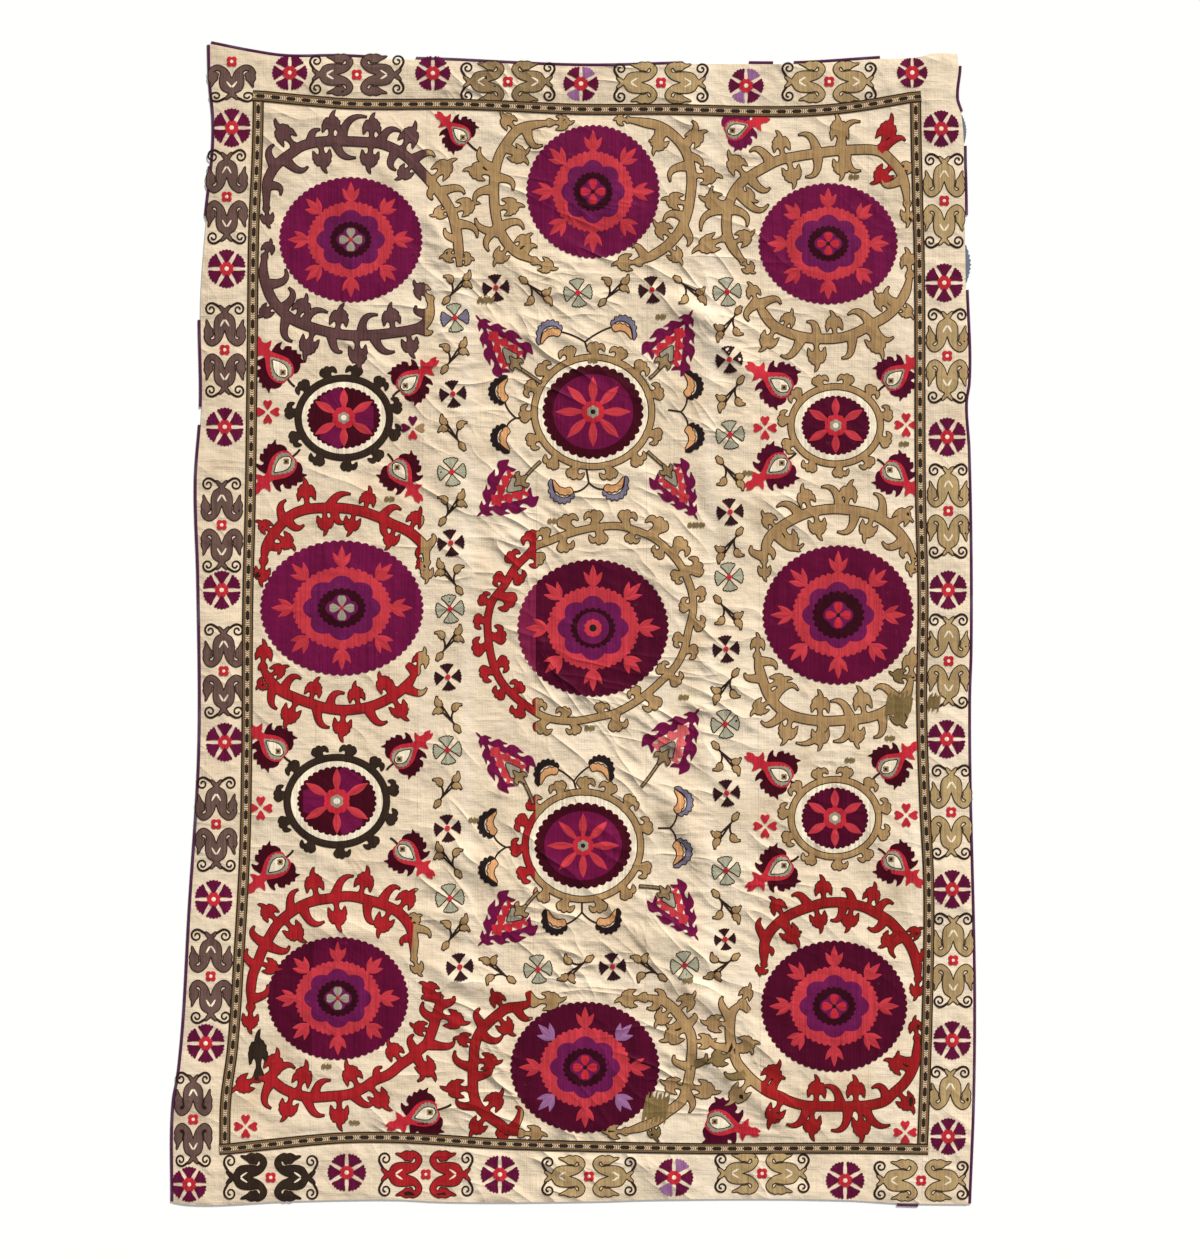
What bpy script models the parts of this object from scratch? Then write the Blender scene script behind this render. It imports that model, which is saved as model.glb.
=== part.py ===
"""Suzani, a large embroidered cotton hanging, lying face up on a flat surface.

The cloth is seven narrow loom widths joined edge to edge, with four border strips round them, a
narrow tape over each join of field and border, and a purple braid along the outer edge. Units are
metres, +Z is up out of the cloth's face, +Y is its top and +X its right. The origin is the middle
of the cloth's outline, on the surface that it lies on.

Places on the cloth were measured on a straight-down photograph. Tables give them in its pixels,
counted right and down, and place() turns them into metres.
"""

from collections import namedtuple

import bpy
import numpy as np

# Sizes of the cloth
PIXEL = 0.00225           # metres of cloth to one pixel
CENTRE_ACROSS = 573.09    # pixel column of the origin
CENTRE_DOWN = 623.86      # pixel row of the origin
CLOTH_THICK = 0.002
GAP = 0.0003              # between pieces that touch
TAPE_WIDTH = 0.025
TAPE_THICK = 0.0012
BRAID_WIDTH = 0.0066
BRAID_THICK = 0.0024
BRAID_END = 0.002         # how far a braid stops short of a corner
SCRAP_THICK = 0.0012
SCRAP_END_WIDTH = 0.0016
SCRAP_PARTS = 6

# Steps of the grid that all the cloth pieces share
TAPE_SIDE = 0.0145        # from the join to the first grid line beside the tape
FLAT_BESIDE_TAPE = 0.016
FULL_HEIGHT_AT = 0.065
STRIP_CELLS = 6
OUTER_STRIP_CELLS = 3
BORDER_CELLS = 2
FIELD_ROWS = 54
BORDER_ROWS = 2
CROSSING_PASSES = 4       # readings that settle where a column and a row cross
LEAST_STRETCH = 1.0       # pixels: grid points nearer than this to a length's end are left out
FOLD_STEPS = 12
FOLD_TAPER = 0.28         # share of a fold's length over which it rises at each end

Point = namedtuple("Point", "along across")

# Each line of the outline and of the joins: upright lines give (down, across) and level lines
# give (across, down), in pixels
LEFT_EDGE = [Point(*row) for row in (
    (44, 210), (80, 211), (120, 214.5), (150, 214), (216, 207), (300, 201), (407, 202),
    (480, 197), (580, 199.5), (750, 200.5), (900, 191.5), (1075, 179.5), (1100, 175),
    (1203, 173.5))]
RIGHT_EDGE = [Point(*row) for row in (
    (54, 957), (65, 958.5), (100, 956), (115, 961), (170, 964), (283, 965.5), (385, 967.5),
    (400, 965), (450, 967.5), (650, 969.5), (700, 968), (1000, 973), (1100, 972), (1203, 968))]
TOP_EDGE = [Point(*row) for row in (
    (210, 44), (250, 52), (284, 57), (340, 57), (383, 59), (440, 60.5), (560, 66), (600, 66.5),
    (700, 64), (800, 64), (880, 59), (920, 57), (932, 53.5), (957, 54))]
BOTTOM_EDGE = [Point(*row) for row in (
    (173, 1202), (190, 1204.5), (290, 1201), (400, 1199.5), (440, 1201.5), (600, 1201),
    (650, 1199.5), (850, 1200), (900, 1203), (968, 1204))]
LEFT_JOIN = [Point(*row) for row in (
    (40, 258), (96, 258.5), (150, 257.5), (230, 254), (350, 252.5), (500, 250.5), (600, 248),
    (750, 247), (850, 245), (950, 239.5), (1050, 232.5), (1100, 226), (1149, 225), (1210, 224))]
RIGHT_JOIN = [Point(*row) for row in (
    (50, 916), (100, 915.5), (200, 917.5), (250, 919), (500, 920.5), (600, 923), (700, 921.5),
    (800, 924.5), (880, 928.5), (950, 928.5), (1080, 925), (1149, 922.5), (1210, 922))]
TOP_JOIN = [Point(*row) for row in (
    (200, 91), (259, 96), (300, 100), (350, 104), (460, 104.5), (500, 106), (580, 109.5),
    (660, 109.5), (800, 111.5), (850, 107.5), (920, 96), (970, 88))]
BOTTOM_JOIN = [Point(*row) for row in (
    (170, 1153), (225, 1149), (262, 1145), (345, 1137.5), (400, 1137.5), (500, 1143.5),
    (600, 1146.5), (700, 1148.3), (850, 1148), (922, 1149), (970, 1150))]
LOOM_SEAMS = [[Point(*row) for row in seam] for seam in (
    ((104, 317), (600, 316), (900, 315), (1060, 312), (1140, 310)),
    ((104, 427), (350, 425), (640, 419), (900, 415), (1060, 403), (1140, 401)),
    ((104, 538), (600, 536), (1000, 531), (1140, 518)),
    ((104, 648), (650, 646), (1000, 645), (1140, 640)),
    ((104, 761), (500, 760), (740, 758), (1140, 761)),
    ((104, 868), (650, 869), (1140, 868)))]

# The main folds: where each starts, bends and ends in pixels, its half width and height in metres
Fold = namedtuple("Fold", "name x0 y0 x1 y1 x2 y2 half high")
FOLDS = [Fold(*row) for row in (
    ("lower_right_long", 672, 1028, 740, 1082, 806, 1132, 0.052, 0.0095),
    ("beside_lower_medallion", 738, 1014, 764, 1050, 800, 1078, 0.046, 0.0055),
    ("lower_right_step", 664, 972, 698, 993, 738, 1018, 0.046, 0.0070),
    ("lower_right_rake", 622, 925, 690, 955, 762, 978, 0.046, 0.0055),
    ("upper_right_bow", 640, 287, 702, 314, 750, 350, 0.048, 0.0075),
    ("upper_right_shadow", 694, 336, 738, 352, 760, 398, 0.048, 0.0085),
    ("right_column_slant", 702, 452, 716, 505, 750, 560, 0.046, 0.0055),
    ("right_column_lower", 690, 735, 716, 775, 742, 800, 0.046, 0.0050),
    ("right_of_centre_slant", 654, 782, 688, 825, 716, 872, 0.048, 0.0065),
    ("left_column_slant", 424, 830, 462, 856, 524, 902, 0.050, 0.0070),
    ("left_column_cross", 414, 908, 450, 914, 486, 920, 0.046, 0.0045),
    ("lower_left_cross", 424, 972, 472, 984, 545, 998, 0.048, 0.0065),
    ("over_lower_medallion", 298, 930, 342, 934, 392, 931, 0.046, 0.0050),
    ("upper_left_tail", 420, 208, 436, 232, 458, 266, 0.046, 0.0060),
    ("upper_left_slant", 370, 150, 394, 180, 420, 212, 0.046, 0.0050),
    ("left_column_upper", 424, 452, 448, 482, 472, 512, 0.046, 0.0050))]

# Lengths of braid: the edge that each lies on, and its stretch along that edge in pixels
Braid = namedtuple("Braid", "name edge start end")
BRAIDS = [Braid(*row) for row in (
    ("braid_left_1", "left", 44, 216), ("braid_left_2", "left", 320, 407),
    ("braid_left_3", "left", 425, 1203), ("braid_top_1", "top", 210, 383),
    ("braid_top_2", "top", 416, 683), ("braid_top_3", "top", 749, 773),
    ("braid_top_4", "top", 794, 880), ("braid_right_1", "right", 66, 112),
    ("braid_right_2", "right", 146, 215), ("braid_right_3", "right", 290, 1204),
    ("braid_bottom_1", "bottom", 897, 918))]

# Scraps of backing past the right edge: stretch in pixels, and how far they stick out in metres
Scrap = namedtuple("Scrap", "name start end width")
SCRAPS = [Scrap("backing_scrap_1", 115, 143, 0.008), Scrap("backing_scrap_2", 245, 283, 0.013)]

# Colour (red, green, blue), roughness and metallic of each material
Finish = namedtuple("Finish", "red green blue roughness metallic")
FINISHES = {
    "cotton": Finish(0.72, 0.63, 0.48, 0.92, 0.0),
    "tape": Finish(0.28, 0.17, 0.08, 0.85, 0.0),
    "braid": Finish(0.075, 0.018, 0.06, 0.80, 0.0),
    "backing": Finish(0.16, 0.19, 0.24, 0.90, 0.0),
}


def place(across, down):
    """Metres right of and above the origin, from pixel columns and rows."""
    return (across - CENTRE_ACROSS) * PIXEL, (CENTRE_DOWN - down) * PIXEL


def follow(points, along):
    """A smooth line through a table's points, read at 'along': each stretch is a cubic whose end
    slopes are the mean of the slopes of the stretches beside it."""
    at = np.array([p.along for p in points], float)
    value = np.array([p.across for p in points], float)
    slope = np.diff(value) / np.diff(at)
    ends = np.concatenate([slope[:1], (slope[:-1] + slope[1:]) / 2, slope[-1:]])
    along = np.asarray(along, float)
    i = np.clip(np.searchsorted(at, along) - 1, 0, len(at) - 2)
    width = at[i + 1] - at[i]
    t = np.clip((along - at[i]) / width, 0, 1)
    rise = value[i + 1] - value[i]
    start, stop = ends[i] * width, ends[i + 1] * width
    return value[i] + t * start + t**2 * (3 * rise - 2 * start - stop) + t**3 * (
        start + stop - 2 * rise)


def smooth(t):
    """0 below 0, 1 above 1 and a soft S between."""
    t = np.clip(t, 0, 1)
    return t * t * (3 - 2 * t)


def fold_height(fold, across, down):
    """Height in metres of one fold: a soft ridge along a bent line, cosine across, tapered at
    both ends."""
    t = np.linspace(0, 1, FOLD_STEPS + 1)
    line_x = (1 - t)**2 * fold.x0 + 2 * t * (1 - t) * fold.x1 + t**2 * fold.x2
    line_y = (1 - t)**2 * fold.y0 + 2 * t * (1 - t) * fold.y1 + t**2 * fold.y2
    run_x, run_y = np.diff(line_x), np.diff(line_y)
    off_x = across[..., None] - line_x[:-1]
    off_y = down[..., None] - line_y[:-1]
    share = np.clip((off_x * run_x + off_y * run_y) / (run_x**2 + run_y**2), 0, 1)
    away = np.hypot(off_x - share * run_x, off_y - share * run_y)
    nearest = away.argmin(axis=-1)[..., None]
    away = np.take_along_axis(away, nearest, -1)[..., 0] * PIXEL
    position = (nearest + np.take_along_axis(share, nearest, -1))[..., 0] / FOLD_STEPS
    taper = smooth(position / FOLD_TAPER) * smooth((1 - position) / FOLD_TAPER)
    across_fold = np.cos(np.clip(away / fold.half, 0, 1) * np.pi / 2)**2
    return fold.high * across_fold * taper


def height(across, down):
    """Height of the cloth's underside at pixel places: the highest fold there, faded out beside
    the tape, and nothing in the borders."""
    inside = np.minimum.reduce([
        across - follow(LEFT_JOIN, down), follow(RIGHT_JOIN, down) - across,
        down - follow(TOP_JOIN, across), follow(BOTTOM_JOIN, across) - down]) * PIXEL
    fade = smooth((inside - FLAT_BESIDE_TAPE) / (FULL_HEIGHT_AT - FLAT_BESIDE_TAPE))
    return np.maximum.reduce([fold_height(fold, across, down) for fold in FOLDS]) * fade


def steps_between(first, second, cells):
    """Grid lines from one line of the cloth up to, not including, the next."""
    return [(first, second, i / cells) for i in range(cells)]


def grid_lines(edge_a, join_a, inner, join_b, edge_b, cells, border_cells, outer_cells):
    """All grid lines one way: edge, border, tape, field with its seams, tape, border, edge.
    A line is a share of the way between two tables, or a table and a fixed distance from it.
    The second list holds the numbers of the lines where pieces meet."""
    lines = steps_between(edge_a, (join_a, -TAPE_SIDE), border_cells) + [(join_a, -TAPE_SIDE)]
    meets = [0, len(lines)]
    lines.append((join_a, 0.0))
    stops = [(join_a, TAPE_SIDE)] + inner + [(join_b, -TAPE_SIDE)]
    for number, (first, second) in enumerate(zip(stops, stops[1:])):
        ends_here = number in (0, len(stops) - 2)
        if number:
            meets.append(len(lines))
        lines += steps_between(first, second, outer_cells if ends_here else cells)
    lines.append((join_b, -TAPE_SIDE))
    meets.append(len(lines))
    lines.append((join_b, 0.0))
    lines += steps_between((join_b, TAPE_SIDE), edge_b, border_cells)
    meets.append(len(lines))
    lines.append(edge_b)
    return lines, meets


def line_at(line, along):
    """Pixel position of a grid line, read at 'along'."""
    if isinstance(line, list):
        return follow(line, along)
    if len(line) == 2:
        return follow(line[0], along) + line[1] / PIXEL
    first, second, share = line
    return line_at(first, along) * (1 - share) + line_at(second, along) * share


def shared_grid():
    """Pixel places of every grid crossing: the columns and rows are bent lines, so each crossing
    is found by reading one at the other's place a few times."""
    columns, column_meets = grid_lines(
        LEFT_EDGE, LEFT_JOIN, LOOM_SEAMS, RIGHT_JOIN, RIGHT_EDGE,
        STRIP_CELLS, BORDER_CELLS, OUTER_STRIP_CELLS)
    rows, row_meets = grid_lines(
        TOP_EDGE, TOP_JOIN, [], BOTTOM_JOIN, BOTTOM_EDGE, FIELD_ROWS, BORDER_ROWS, FIELD_ROWS)
    across = np.full((len(rows), len(columns)), CENTRE_ACROSS)
    down = np.full_like(across, CENTRE_DOWN)
    for _ in range(CROSSING_PASSES):
        across = np.stack([line_at(line, down[:, i]) for i, line in enumerate(columns)], axis=1)
        down = np.stack([line_at(line, across[i]) for i, line in enumerate(rows)], axis=0)
    return across, down, column_meets, row_meets


def slab(top, bottom):
    """Points and faces of a closed body between two grids of points of the same shape."""
    rows, columns = top.shape[:2]
    number = np.arange(rows * columns).reshape(rows, columns)
    under = number + rows * columns
    a, b, c, d = number[:-1, :-1], number[1:, :-1], number[1:, 1:], number[:-1, 1:]
    upper = np.stack([a, b, c, d], axis=-1).reshape(-1, 4)
    lower = upper[:, ::-1] + rows * columns
    walls = []
    for rim, foot in ((number[:, 0], under[:, 0]), (number[-1], under[-1]),
                      (number[::-1, -1], under[::-1, -1]), (number[0, ::-1], under[0, ::-1])):
        walls.append(np.stack([rim[:-1], foot[:-1], foot[1:], rim[1:]], axis=-1))
    points = np.concatenate([top.reshape(-1, 3), bottom.reshape(-1, 3)])
    return points, np.concatenate([upper, lower] + walls)


def add_node(name, points, faces, material):
    """One object of the given name, in triangles, with its faces pointing out."""
    mesh = bpy.data.meshes.new(name)
    mesh.from_pydata(points.tolist(), [], faces.tolist())
    mesh.update()
    mesh.materials.append(material)
    thing = bpy.data.objects.new(name, mesh)
    bpy.context.scene.collection.objects.link(thing)
    return thing


def material_for(node, kind):
    """A material of the node's own, in the colour and roughness of its kind."""
    finish = FINISHES[kind]
    material = bpy.data.materials.new(node + "_" + kind)
    material.use_nodes = True
    shader = material.node_tree.nodes["Principled BSDF"]
    shader.inputs["Base Color"].default_value = (finish.red, finish.green, finish.blue, 1.0)
    shader.inputs["Roughness"].default_value = finish.roughness
    shader.inputs["Metallic"].default_value = finish.metallic
    return material


def sheet(name, across, down, rows, columns, top_gap, left_gap, bottom_gap, right_gap):
    """One piece of the cloth: a block of the shared grid, drawn in by half a gap where it meets
    a neighbour."""
    across = across[rows[0]:rows[1] + 1, columns[0]:columns[1] + 1].copy()
    down = down[rows[0]:rows[1] + 1, columns[0]:columns[1] + 1].copy()
    half_gap = GAP / 2 / PIXEL
    across[:, 0] += half_gap * left_gap
    across[:, -1] -= half_gap * right_gap
    down[0] += half_gap * top_gap
    down[-1] -= half_gap * bottom_gap
    x, y = place(across, down)
    under = height(across, down)
    bottom = np.stack([x, y, under], axis=-1)
    top = bottom + np.array([0, 0, CLOTH_THICK])
    points, faces = slab(top, bottom)
    return add_node(name, points, faces, material_for(name, "cotton"))


def make_cloth():
    """The seven loom widths and the four border strips. Returns the shared grid's outer edges,
    in metres, each running left to right or top to bottom."""
    across, down, column_meets, row_meets = shared_grid()
    top, upper, lower, bottom = row_meets
    left, first, *seams, last, right = column_meets
    sheet("border_left", across, down, (top, bottom), (left, first), 0, 0, 0, 1)
    sheet("border_right", across, down, (top, bottom), (last, right), 0, 1, 0, 0)
    sheet("border_top", across, down, (top, upper), (first, last), 0, 1, 1, 1)
    sheet("border_bottom", across, down, (lower, bottom), (first, last), 1, 1, 0, 1)
    starts = [first] + seams
    stops = seams + [last]
    for number, (start, stop) in enumerate(zip(starts, stops), start=1):
        sheet(f"field_strip_{number}", across, down, (upper, lower), (start, stop), 1, 1, 1, 1)
    x, y = place(across, down)
    grid = np.stack([x, y], axis=-1)
    return {"left": grid[:, 0], "right": grid[:, -1], "top": grid[0], "bottom": grid[-1],
            "tape_left": grid[upper:lower + 1, first], "tape_right": grid[upper:lower + 1, last],
            "tape_top": grid[upper, first:last + 1], "tape_bottom": grid[lower, first:last + 1]}


def normals_of(line):
    """At each point of a flat line, the left-hand side direction, long enough to keep an offset
    line's stretches at full distance round a bend."""
    run = np.diff(line, axis=0)
    run /= np.linalg.norm(run, axis=1)[:, None]
    side = np.stack([-run[:, 1], run[:, 0]], axis=1)
    before = np.concatenate([side[:1], side])
    after = np.concatenate([side, side[-1:]])
    mean = before + after
    return mean / (mean * after).sum(axis=1)[:, None]


def ribbon(name, right, left, low, thick, kind):
    """A flat strip between the lines at its right and left hand, from the height 'low' up."""
    flat = np.stack([right, left], axis=1)
    bottom = np.concatenate([flat, np.full(flat.shape[:2] + (1,), low)], axis=-1)
    top = bottom + np.array([0, 0, thick])
    points, faces = slab(top, bottom)
    return add_node(name, points, faces, material_for(name, kind))


def stretch_of(line, level, start, end, parts=1):
    """Part of an edge between two pixel positions along it, cut into equal parts and again at
    every grid point. Also returns how far along the stretch each point is, from 0 to 1."""
    along = CENTRE_ACROSS + line[:, 0] / PIXEL if level else CENTRE_DOWN - line[:, 1] / PIXEL
    low = max(start, along[0] + BRAID_END / PIXEL)
    high = min(end, along[-1] - BRAID_END / PIXEL)
    inside = along[(along > low + LEAST_STRETCH) & (along < high - LEAST_STRETCH)]
    wanted = np.union1d(np.linspace(low, high, parts + 1), inside)
    points = np.stack([np.interp(wanted, along, line[:, i]) for i in range(2)], axis=1)
    return points, (wanted - low) / (high - low)


def outward(edge):
    """+1 or -1, the side of an edge's running direction on which the outside lies."""
    return {"left": -1, "right": 1, "top": 1, "bottom": -1}[edge]


def make_tapes(lines):
    """Four tapes, centred on the joins of field and border and lying on the cloth."""
    half = TAPE_WIDTH / 2
    low = CLOTH_THICK + GAP
    sides = {}
    for edge in ("top", "bottom"):
        line = lines["tape_" + edge].copy()
        line[0, 0] -= half
        line[-1, 0] += half
        side = normals_of(line) * half
        sides[edge] = (line - side, line + side)
        ribbon("tape_" + edge, line - side, line + side, low, TAPE_THICK, "tape")
    for edge in ("left", "right"):
        whole = lines["tape_" + edge]
        line = np.concatenate([whole[:1], whole[2:-2], whole[-1:]])
        side = normals_of(line) * half
        west, east = (line - side), (line + side)
        for run in (west, east):
            run[0, 1] = np.interp(run[0, 0], *sides["top"][0].T) - 2 * GAP
            run[-1, 1] = np.interp(run[-1, 0], *sides["bottom"][1].T) + 2 * GAP
        ribbon("tape_" + edge, west, east, low, TAPE_THICK, "tape")


def make_edging(lines):
    """The lengths of purple braid, and the scraps of backing past the right edge."""
    for braid in BRAIDS:
        level = braid.edge in ("top", "bottom")
        line, _ = stretch_of(lines[braid.edge], level, braid.start, braid.end)
        side = normals_of(line) * outward(braid.edge)
        near, far = line + side * GAP, line + side * (GAP + BRAID_WIDTH)
        pair = (near, far) if outward(braid.edge) > 0 else (far, near)
        ribbon(braid.name, *pair, 0.0, BRAID_THICK, "braid")
    for scrap in SCRAPS:
        line, share = stretch_of(lines["right"], False, scrap.start, scrap.end, SCRAP_PARTS)
        reach = SCRAP_END_WIDTH + (scrap.width - SCRAP_END_WIDTH) * np.sin(np.pi * share)[:, None]
        side = normals_of(line)
        ribbon(scrap.name, line + side * GAP, line + side * (GAP + reach), 0.0, SCRAP_THICK,
               "backing")


def main():
    """Clears the scene and builds every piece."""
    for old in list(bpy.data.objects):
        bpy.data.objects.remove(old)
    lines = make_cloth()
    make_tapes(lines)
    make_edging(lines)


main()
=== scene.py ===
"""The looks of a suzani: a hand-woven cotton hanging embroidered in silk, lying face up.

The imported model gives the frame. Each piece of cloth is made again here on the same outline, joins
and main folds, with its lesser creases added, and the silk lies over it as low padded patches.
Units are metres, +Z is up out of the cloth's face, +Y is its top and +X its right.

Places on the cloth are charted on a straight-down photograph, in its pixels, counted right and
down. place() turns them into metres. Angles on the cloth are degrees, anticlockwise from +X.
"""

import logging
import math
from dataclasses import dataclass, field
from enum import Enum
from typing import Callable, Iterable, NamedTuple, Optional, Sequence, Union

import bpy
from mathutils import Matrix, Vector
from mathutils.geometry import delaunay_2d_cdt
import numpy as np


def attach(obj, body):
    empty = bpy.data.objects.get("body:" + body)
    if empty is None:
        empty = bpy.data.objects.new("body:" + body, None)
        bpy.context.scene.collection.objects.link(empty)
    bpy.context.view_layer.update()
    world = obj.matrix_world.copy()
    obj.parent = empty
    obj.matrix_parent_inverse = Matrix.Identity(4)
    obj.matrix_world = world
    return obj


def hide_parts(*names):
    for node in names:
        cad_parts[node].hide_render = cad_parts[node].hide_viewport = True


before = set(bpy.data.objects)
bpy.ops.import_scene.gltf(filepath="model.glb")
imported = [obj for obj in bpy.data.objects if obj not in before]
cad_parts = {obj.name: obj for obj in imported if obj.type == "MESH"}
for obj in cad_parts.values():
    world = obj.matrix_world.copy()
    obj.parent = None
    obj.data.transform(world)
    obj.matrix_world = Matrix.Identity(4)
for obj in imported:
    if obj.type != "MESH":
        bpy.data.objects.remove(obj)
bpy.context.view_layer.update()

LOG = logging.getLogger("suzani")
Rule = Callable[[np.ndarray], np.ndarray]

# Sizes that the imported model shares
PIXEL = 0.00225
CENTRE_ACROSS = 573.09
CENTRE_DOWN = 623.86
CLOTH_THICK = 0.002
GAP = 0.0003
TAPE_WIDTH = 0.025
TAPE_THICK = 0.0012
BRAID_WIDTH = 0.0066
BRAID_THICK = 0.0024
BRAID_END = 0.002
SCRAP_THICK = 0.0012
SCRAP_END_WIDTH = 0.0016
TAPE_SIDE = 0.0145
FLAT_BESIDE_TAPE = 0.016
FULL_HEIGHT_AT = 0.065
CROSSING_PASSES = 4
FOLD_STEPS = 12
FOLD_TAPER = 0.28

# Cells of the fine cloth grid
STRIP_CELLS = 28
OUTER_STRIP_CELLS = 17
BORDER_CELLS = 11
FIELD_ROWS = 270
BORDER_ROWS = 10

# The silk's layers above the cloth
LAYER_LOW = 0.00035
LAYER_STEP = 0.00028
LAYER_RISE = 0.00025
SPREAD = 0.000012
SPREAD_TURNS = 9
OUTLINE_OUT = 1.0        # pixels of dark outline round a filled shape
NO_SEAM = 1.0
LATTICE = 6.0            # pixels between a filled shape's inner points
UPRIGHT = 90.0           # direction of threads that run up the cloth
SMOOTH_UNDER = 32        # degrees between faces that shade as one

# Cross-sections of a strip: places from side to side as shares of its half width, and their rise.
# Each holds up to a full width in pixels.
SECTIONS = (
    (3.2, (1.0, 0.0, -1.0), (0.0, 1.0, 0.0)),
    (16.0, (1.0, 0.62, -0.62, -1.0), (0.0, 1.0, 1.0, 0.0)),
    (math.inf, (1.0, 0.8, 0.3, -0.3, -0.8, -1.0), (0.0, 0.9, 1.0, 1.0, 0.9, 0.0)))


class Point(NamedTuple):
    """One place in a table of the outline or of a join."""
    along: float
    across: float


class Fold(NamedTuple):
    """A main fold or a lesser crease, in pixels, with its half width and height in metres."""
    name: str
    x0: float
    y0: float
    x1: float
    y1: float
    x2: float
    y2: float
    half: float
    high: float


LEFT_EDGE = [Point(*row) for row in (
    (44, 210), (80, 211), (120, 214.5), (150, 214), (216, 207), (300, 201), (407, 202),
    (480, 197), (580, 199.5), (750, 200.5), (900, 191.5), (1075, 179.5), (1100, 175),
    (1203, 173.5))]
RIGHT_EDGE = [Point(*row) for row in (
    (54, 957), (65, 958.5), (100, 956), (115, 961), (170, 964), (283, 965.5), (385, 967.5),
    (400, 965), (450, 967.5), (650, 969.5), (700, 968), (1000, 973), (1100, 972), (1203, 968))]
TOP_EDGE = [Point(*row) for row in (
    (210, 44), (250, 52), (284, 57), (340, 57), (383, 59), (440, 60.5), (560, 66), (600, 66.5),
    (700, 64), (800, 64), (880, 59), (920, 57), (932, 53.5), (957, 54))]
BOTTOM_EDGE = [Point(*row) for row in (
    (173, 1202), (190, 1204.5), (290, 1201), (400, 1199.5), (440, 1201.5), (600, 1201),
    (650, 1199.5), (850, 1200), (900, 1203), (968, 1204))]
LEFT_JOIN = [Point(*row) for row in (
    (40, 258), (96, 258.5), (150, 257.5), (230, 254), (350, 252.5), (500, 250.5), (600, 248),
    (750, 247), (850, 245), (950, 239.5), (1050, 232.5), (1100, 226), (1149, 225), (1210, 224))]
RIGHT_JOIN = [Point(*row) for row in (
    (50, 916), (100, 915.5), (200, 917.5), (250, 919), (500, 920.5), (600, 923), (700, 921.5),
    (800, 924.5), (880, 928.5), (950, 928.5), (1080, 925), (1149, 922.5), (1210, 922))]
TOP_JOIN = [Point(*row) for row in (
    (200, 91), (259, 96), (300, 100), (350, 104), (460, 104.5), (500, 106), (580, 109.5),
    (660, 109.5), (800, 111.5), (850, 107.5), (920, 96), (970, 88))]
BOTTOM_JOIN = [Point(*row) for row in (
    (170, 1153), (225, 1149), (262, 1145), (345, 1137.5), (400, 1137.5), (500, 1143.5),
    (600, 1146.5), (700, 1148.3), (850, 1148), (922, 1149), (970, 1150))]
LOOM_SEAMS = [[Point(*row) for row in seam] for seam in (
    ((104, 317), (600, 316), (900, 315), (1060, 312), (1140, 310)),
    ((104, 427), (350, 425), (640, 419), (900, 415), (1060, 403), (1140, 401)),
    ((104, 538), (600, 536), (1000, 531), (1140, 518)),
    ((104, 648), (650, 646), (1000, 645), (1140, 640)),
    ((104, 761), (500, 760), (740, 758), (1140, 761)),
    ((104, 868), (650, 869), (1140, 868)))]

# The main folds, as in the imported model
FOLDS = [Fold(*row) for row in (
    ("lower_right_long", 672, 1028, 740, 1082, 806, 1132, 0.052, 0.0095),
    ("beside_lower_medallion", 738, 1014, 764, 1050, 800, 1078, 0.046, 0.0055),
    ("lower_right_step", 664, 972, 698, 993, 738, 1018, 0.046, 0.0070),
    ("lower_right_rake", 622, 925, 690, 955, 762, 978, 0.046, 0.0055),
    ("upper_right_bow", 640, 287, 702, 314, 750, 350, 0.048, 0.0075),
    ("upper_right_shadow", 694, 336, 738, 352, 760, 398, 0.048, 0.0085),
    ("right_column_slant", 702, 452, 716, 505, 750, 560, 0.046, 0.0055),
    ("right_column_lower", 690, 735, 716, 775, 742, 800, 0.046, 0.0050),
    ("right_of_centre_slant", 654, 782, 688, 825, 716, 872, 0.048, 0.0065),
    ("left_column_slant", 424, 830, 462, 856, 524, 902, 0.050, 0.0070),
    ("left_column_cross", 414, 908, 450, 914, 486, 920, 0.046, 0.0045),
    ("lower_left_cross", 424, 972, 472, 984, 545, 998, 0.048, 0.0065),
    ("over_lower_medallion", 298, 930, 342, 934, 392, 931, 0.046, 0.0050),
    ("upper_left_tail", 420, 208, 436, 232, 458, 266, 0.046, 0.0060),
    ("upper_left_slant", 370, 150, 394, 180, 420, 212, 0.046, 0.0050),
    ("left_column_upper", 424, 452, 448, 482, 472, 512, 0.046, 0.0050))]

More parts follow.
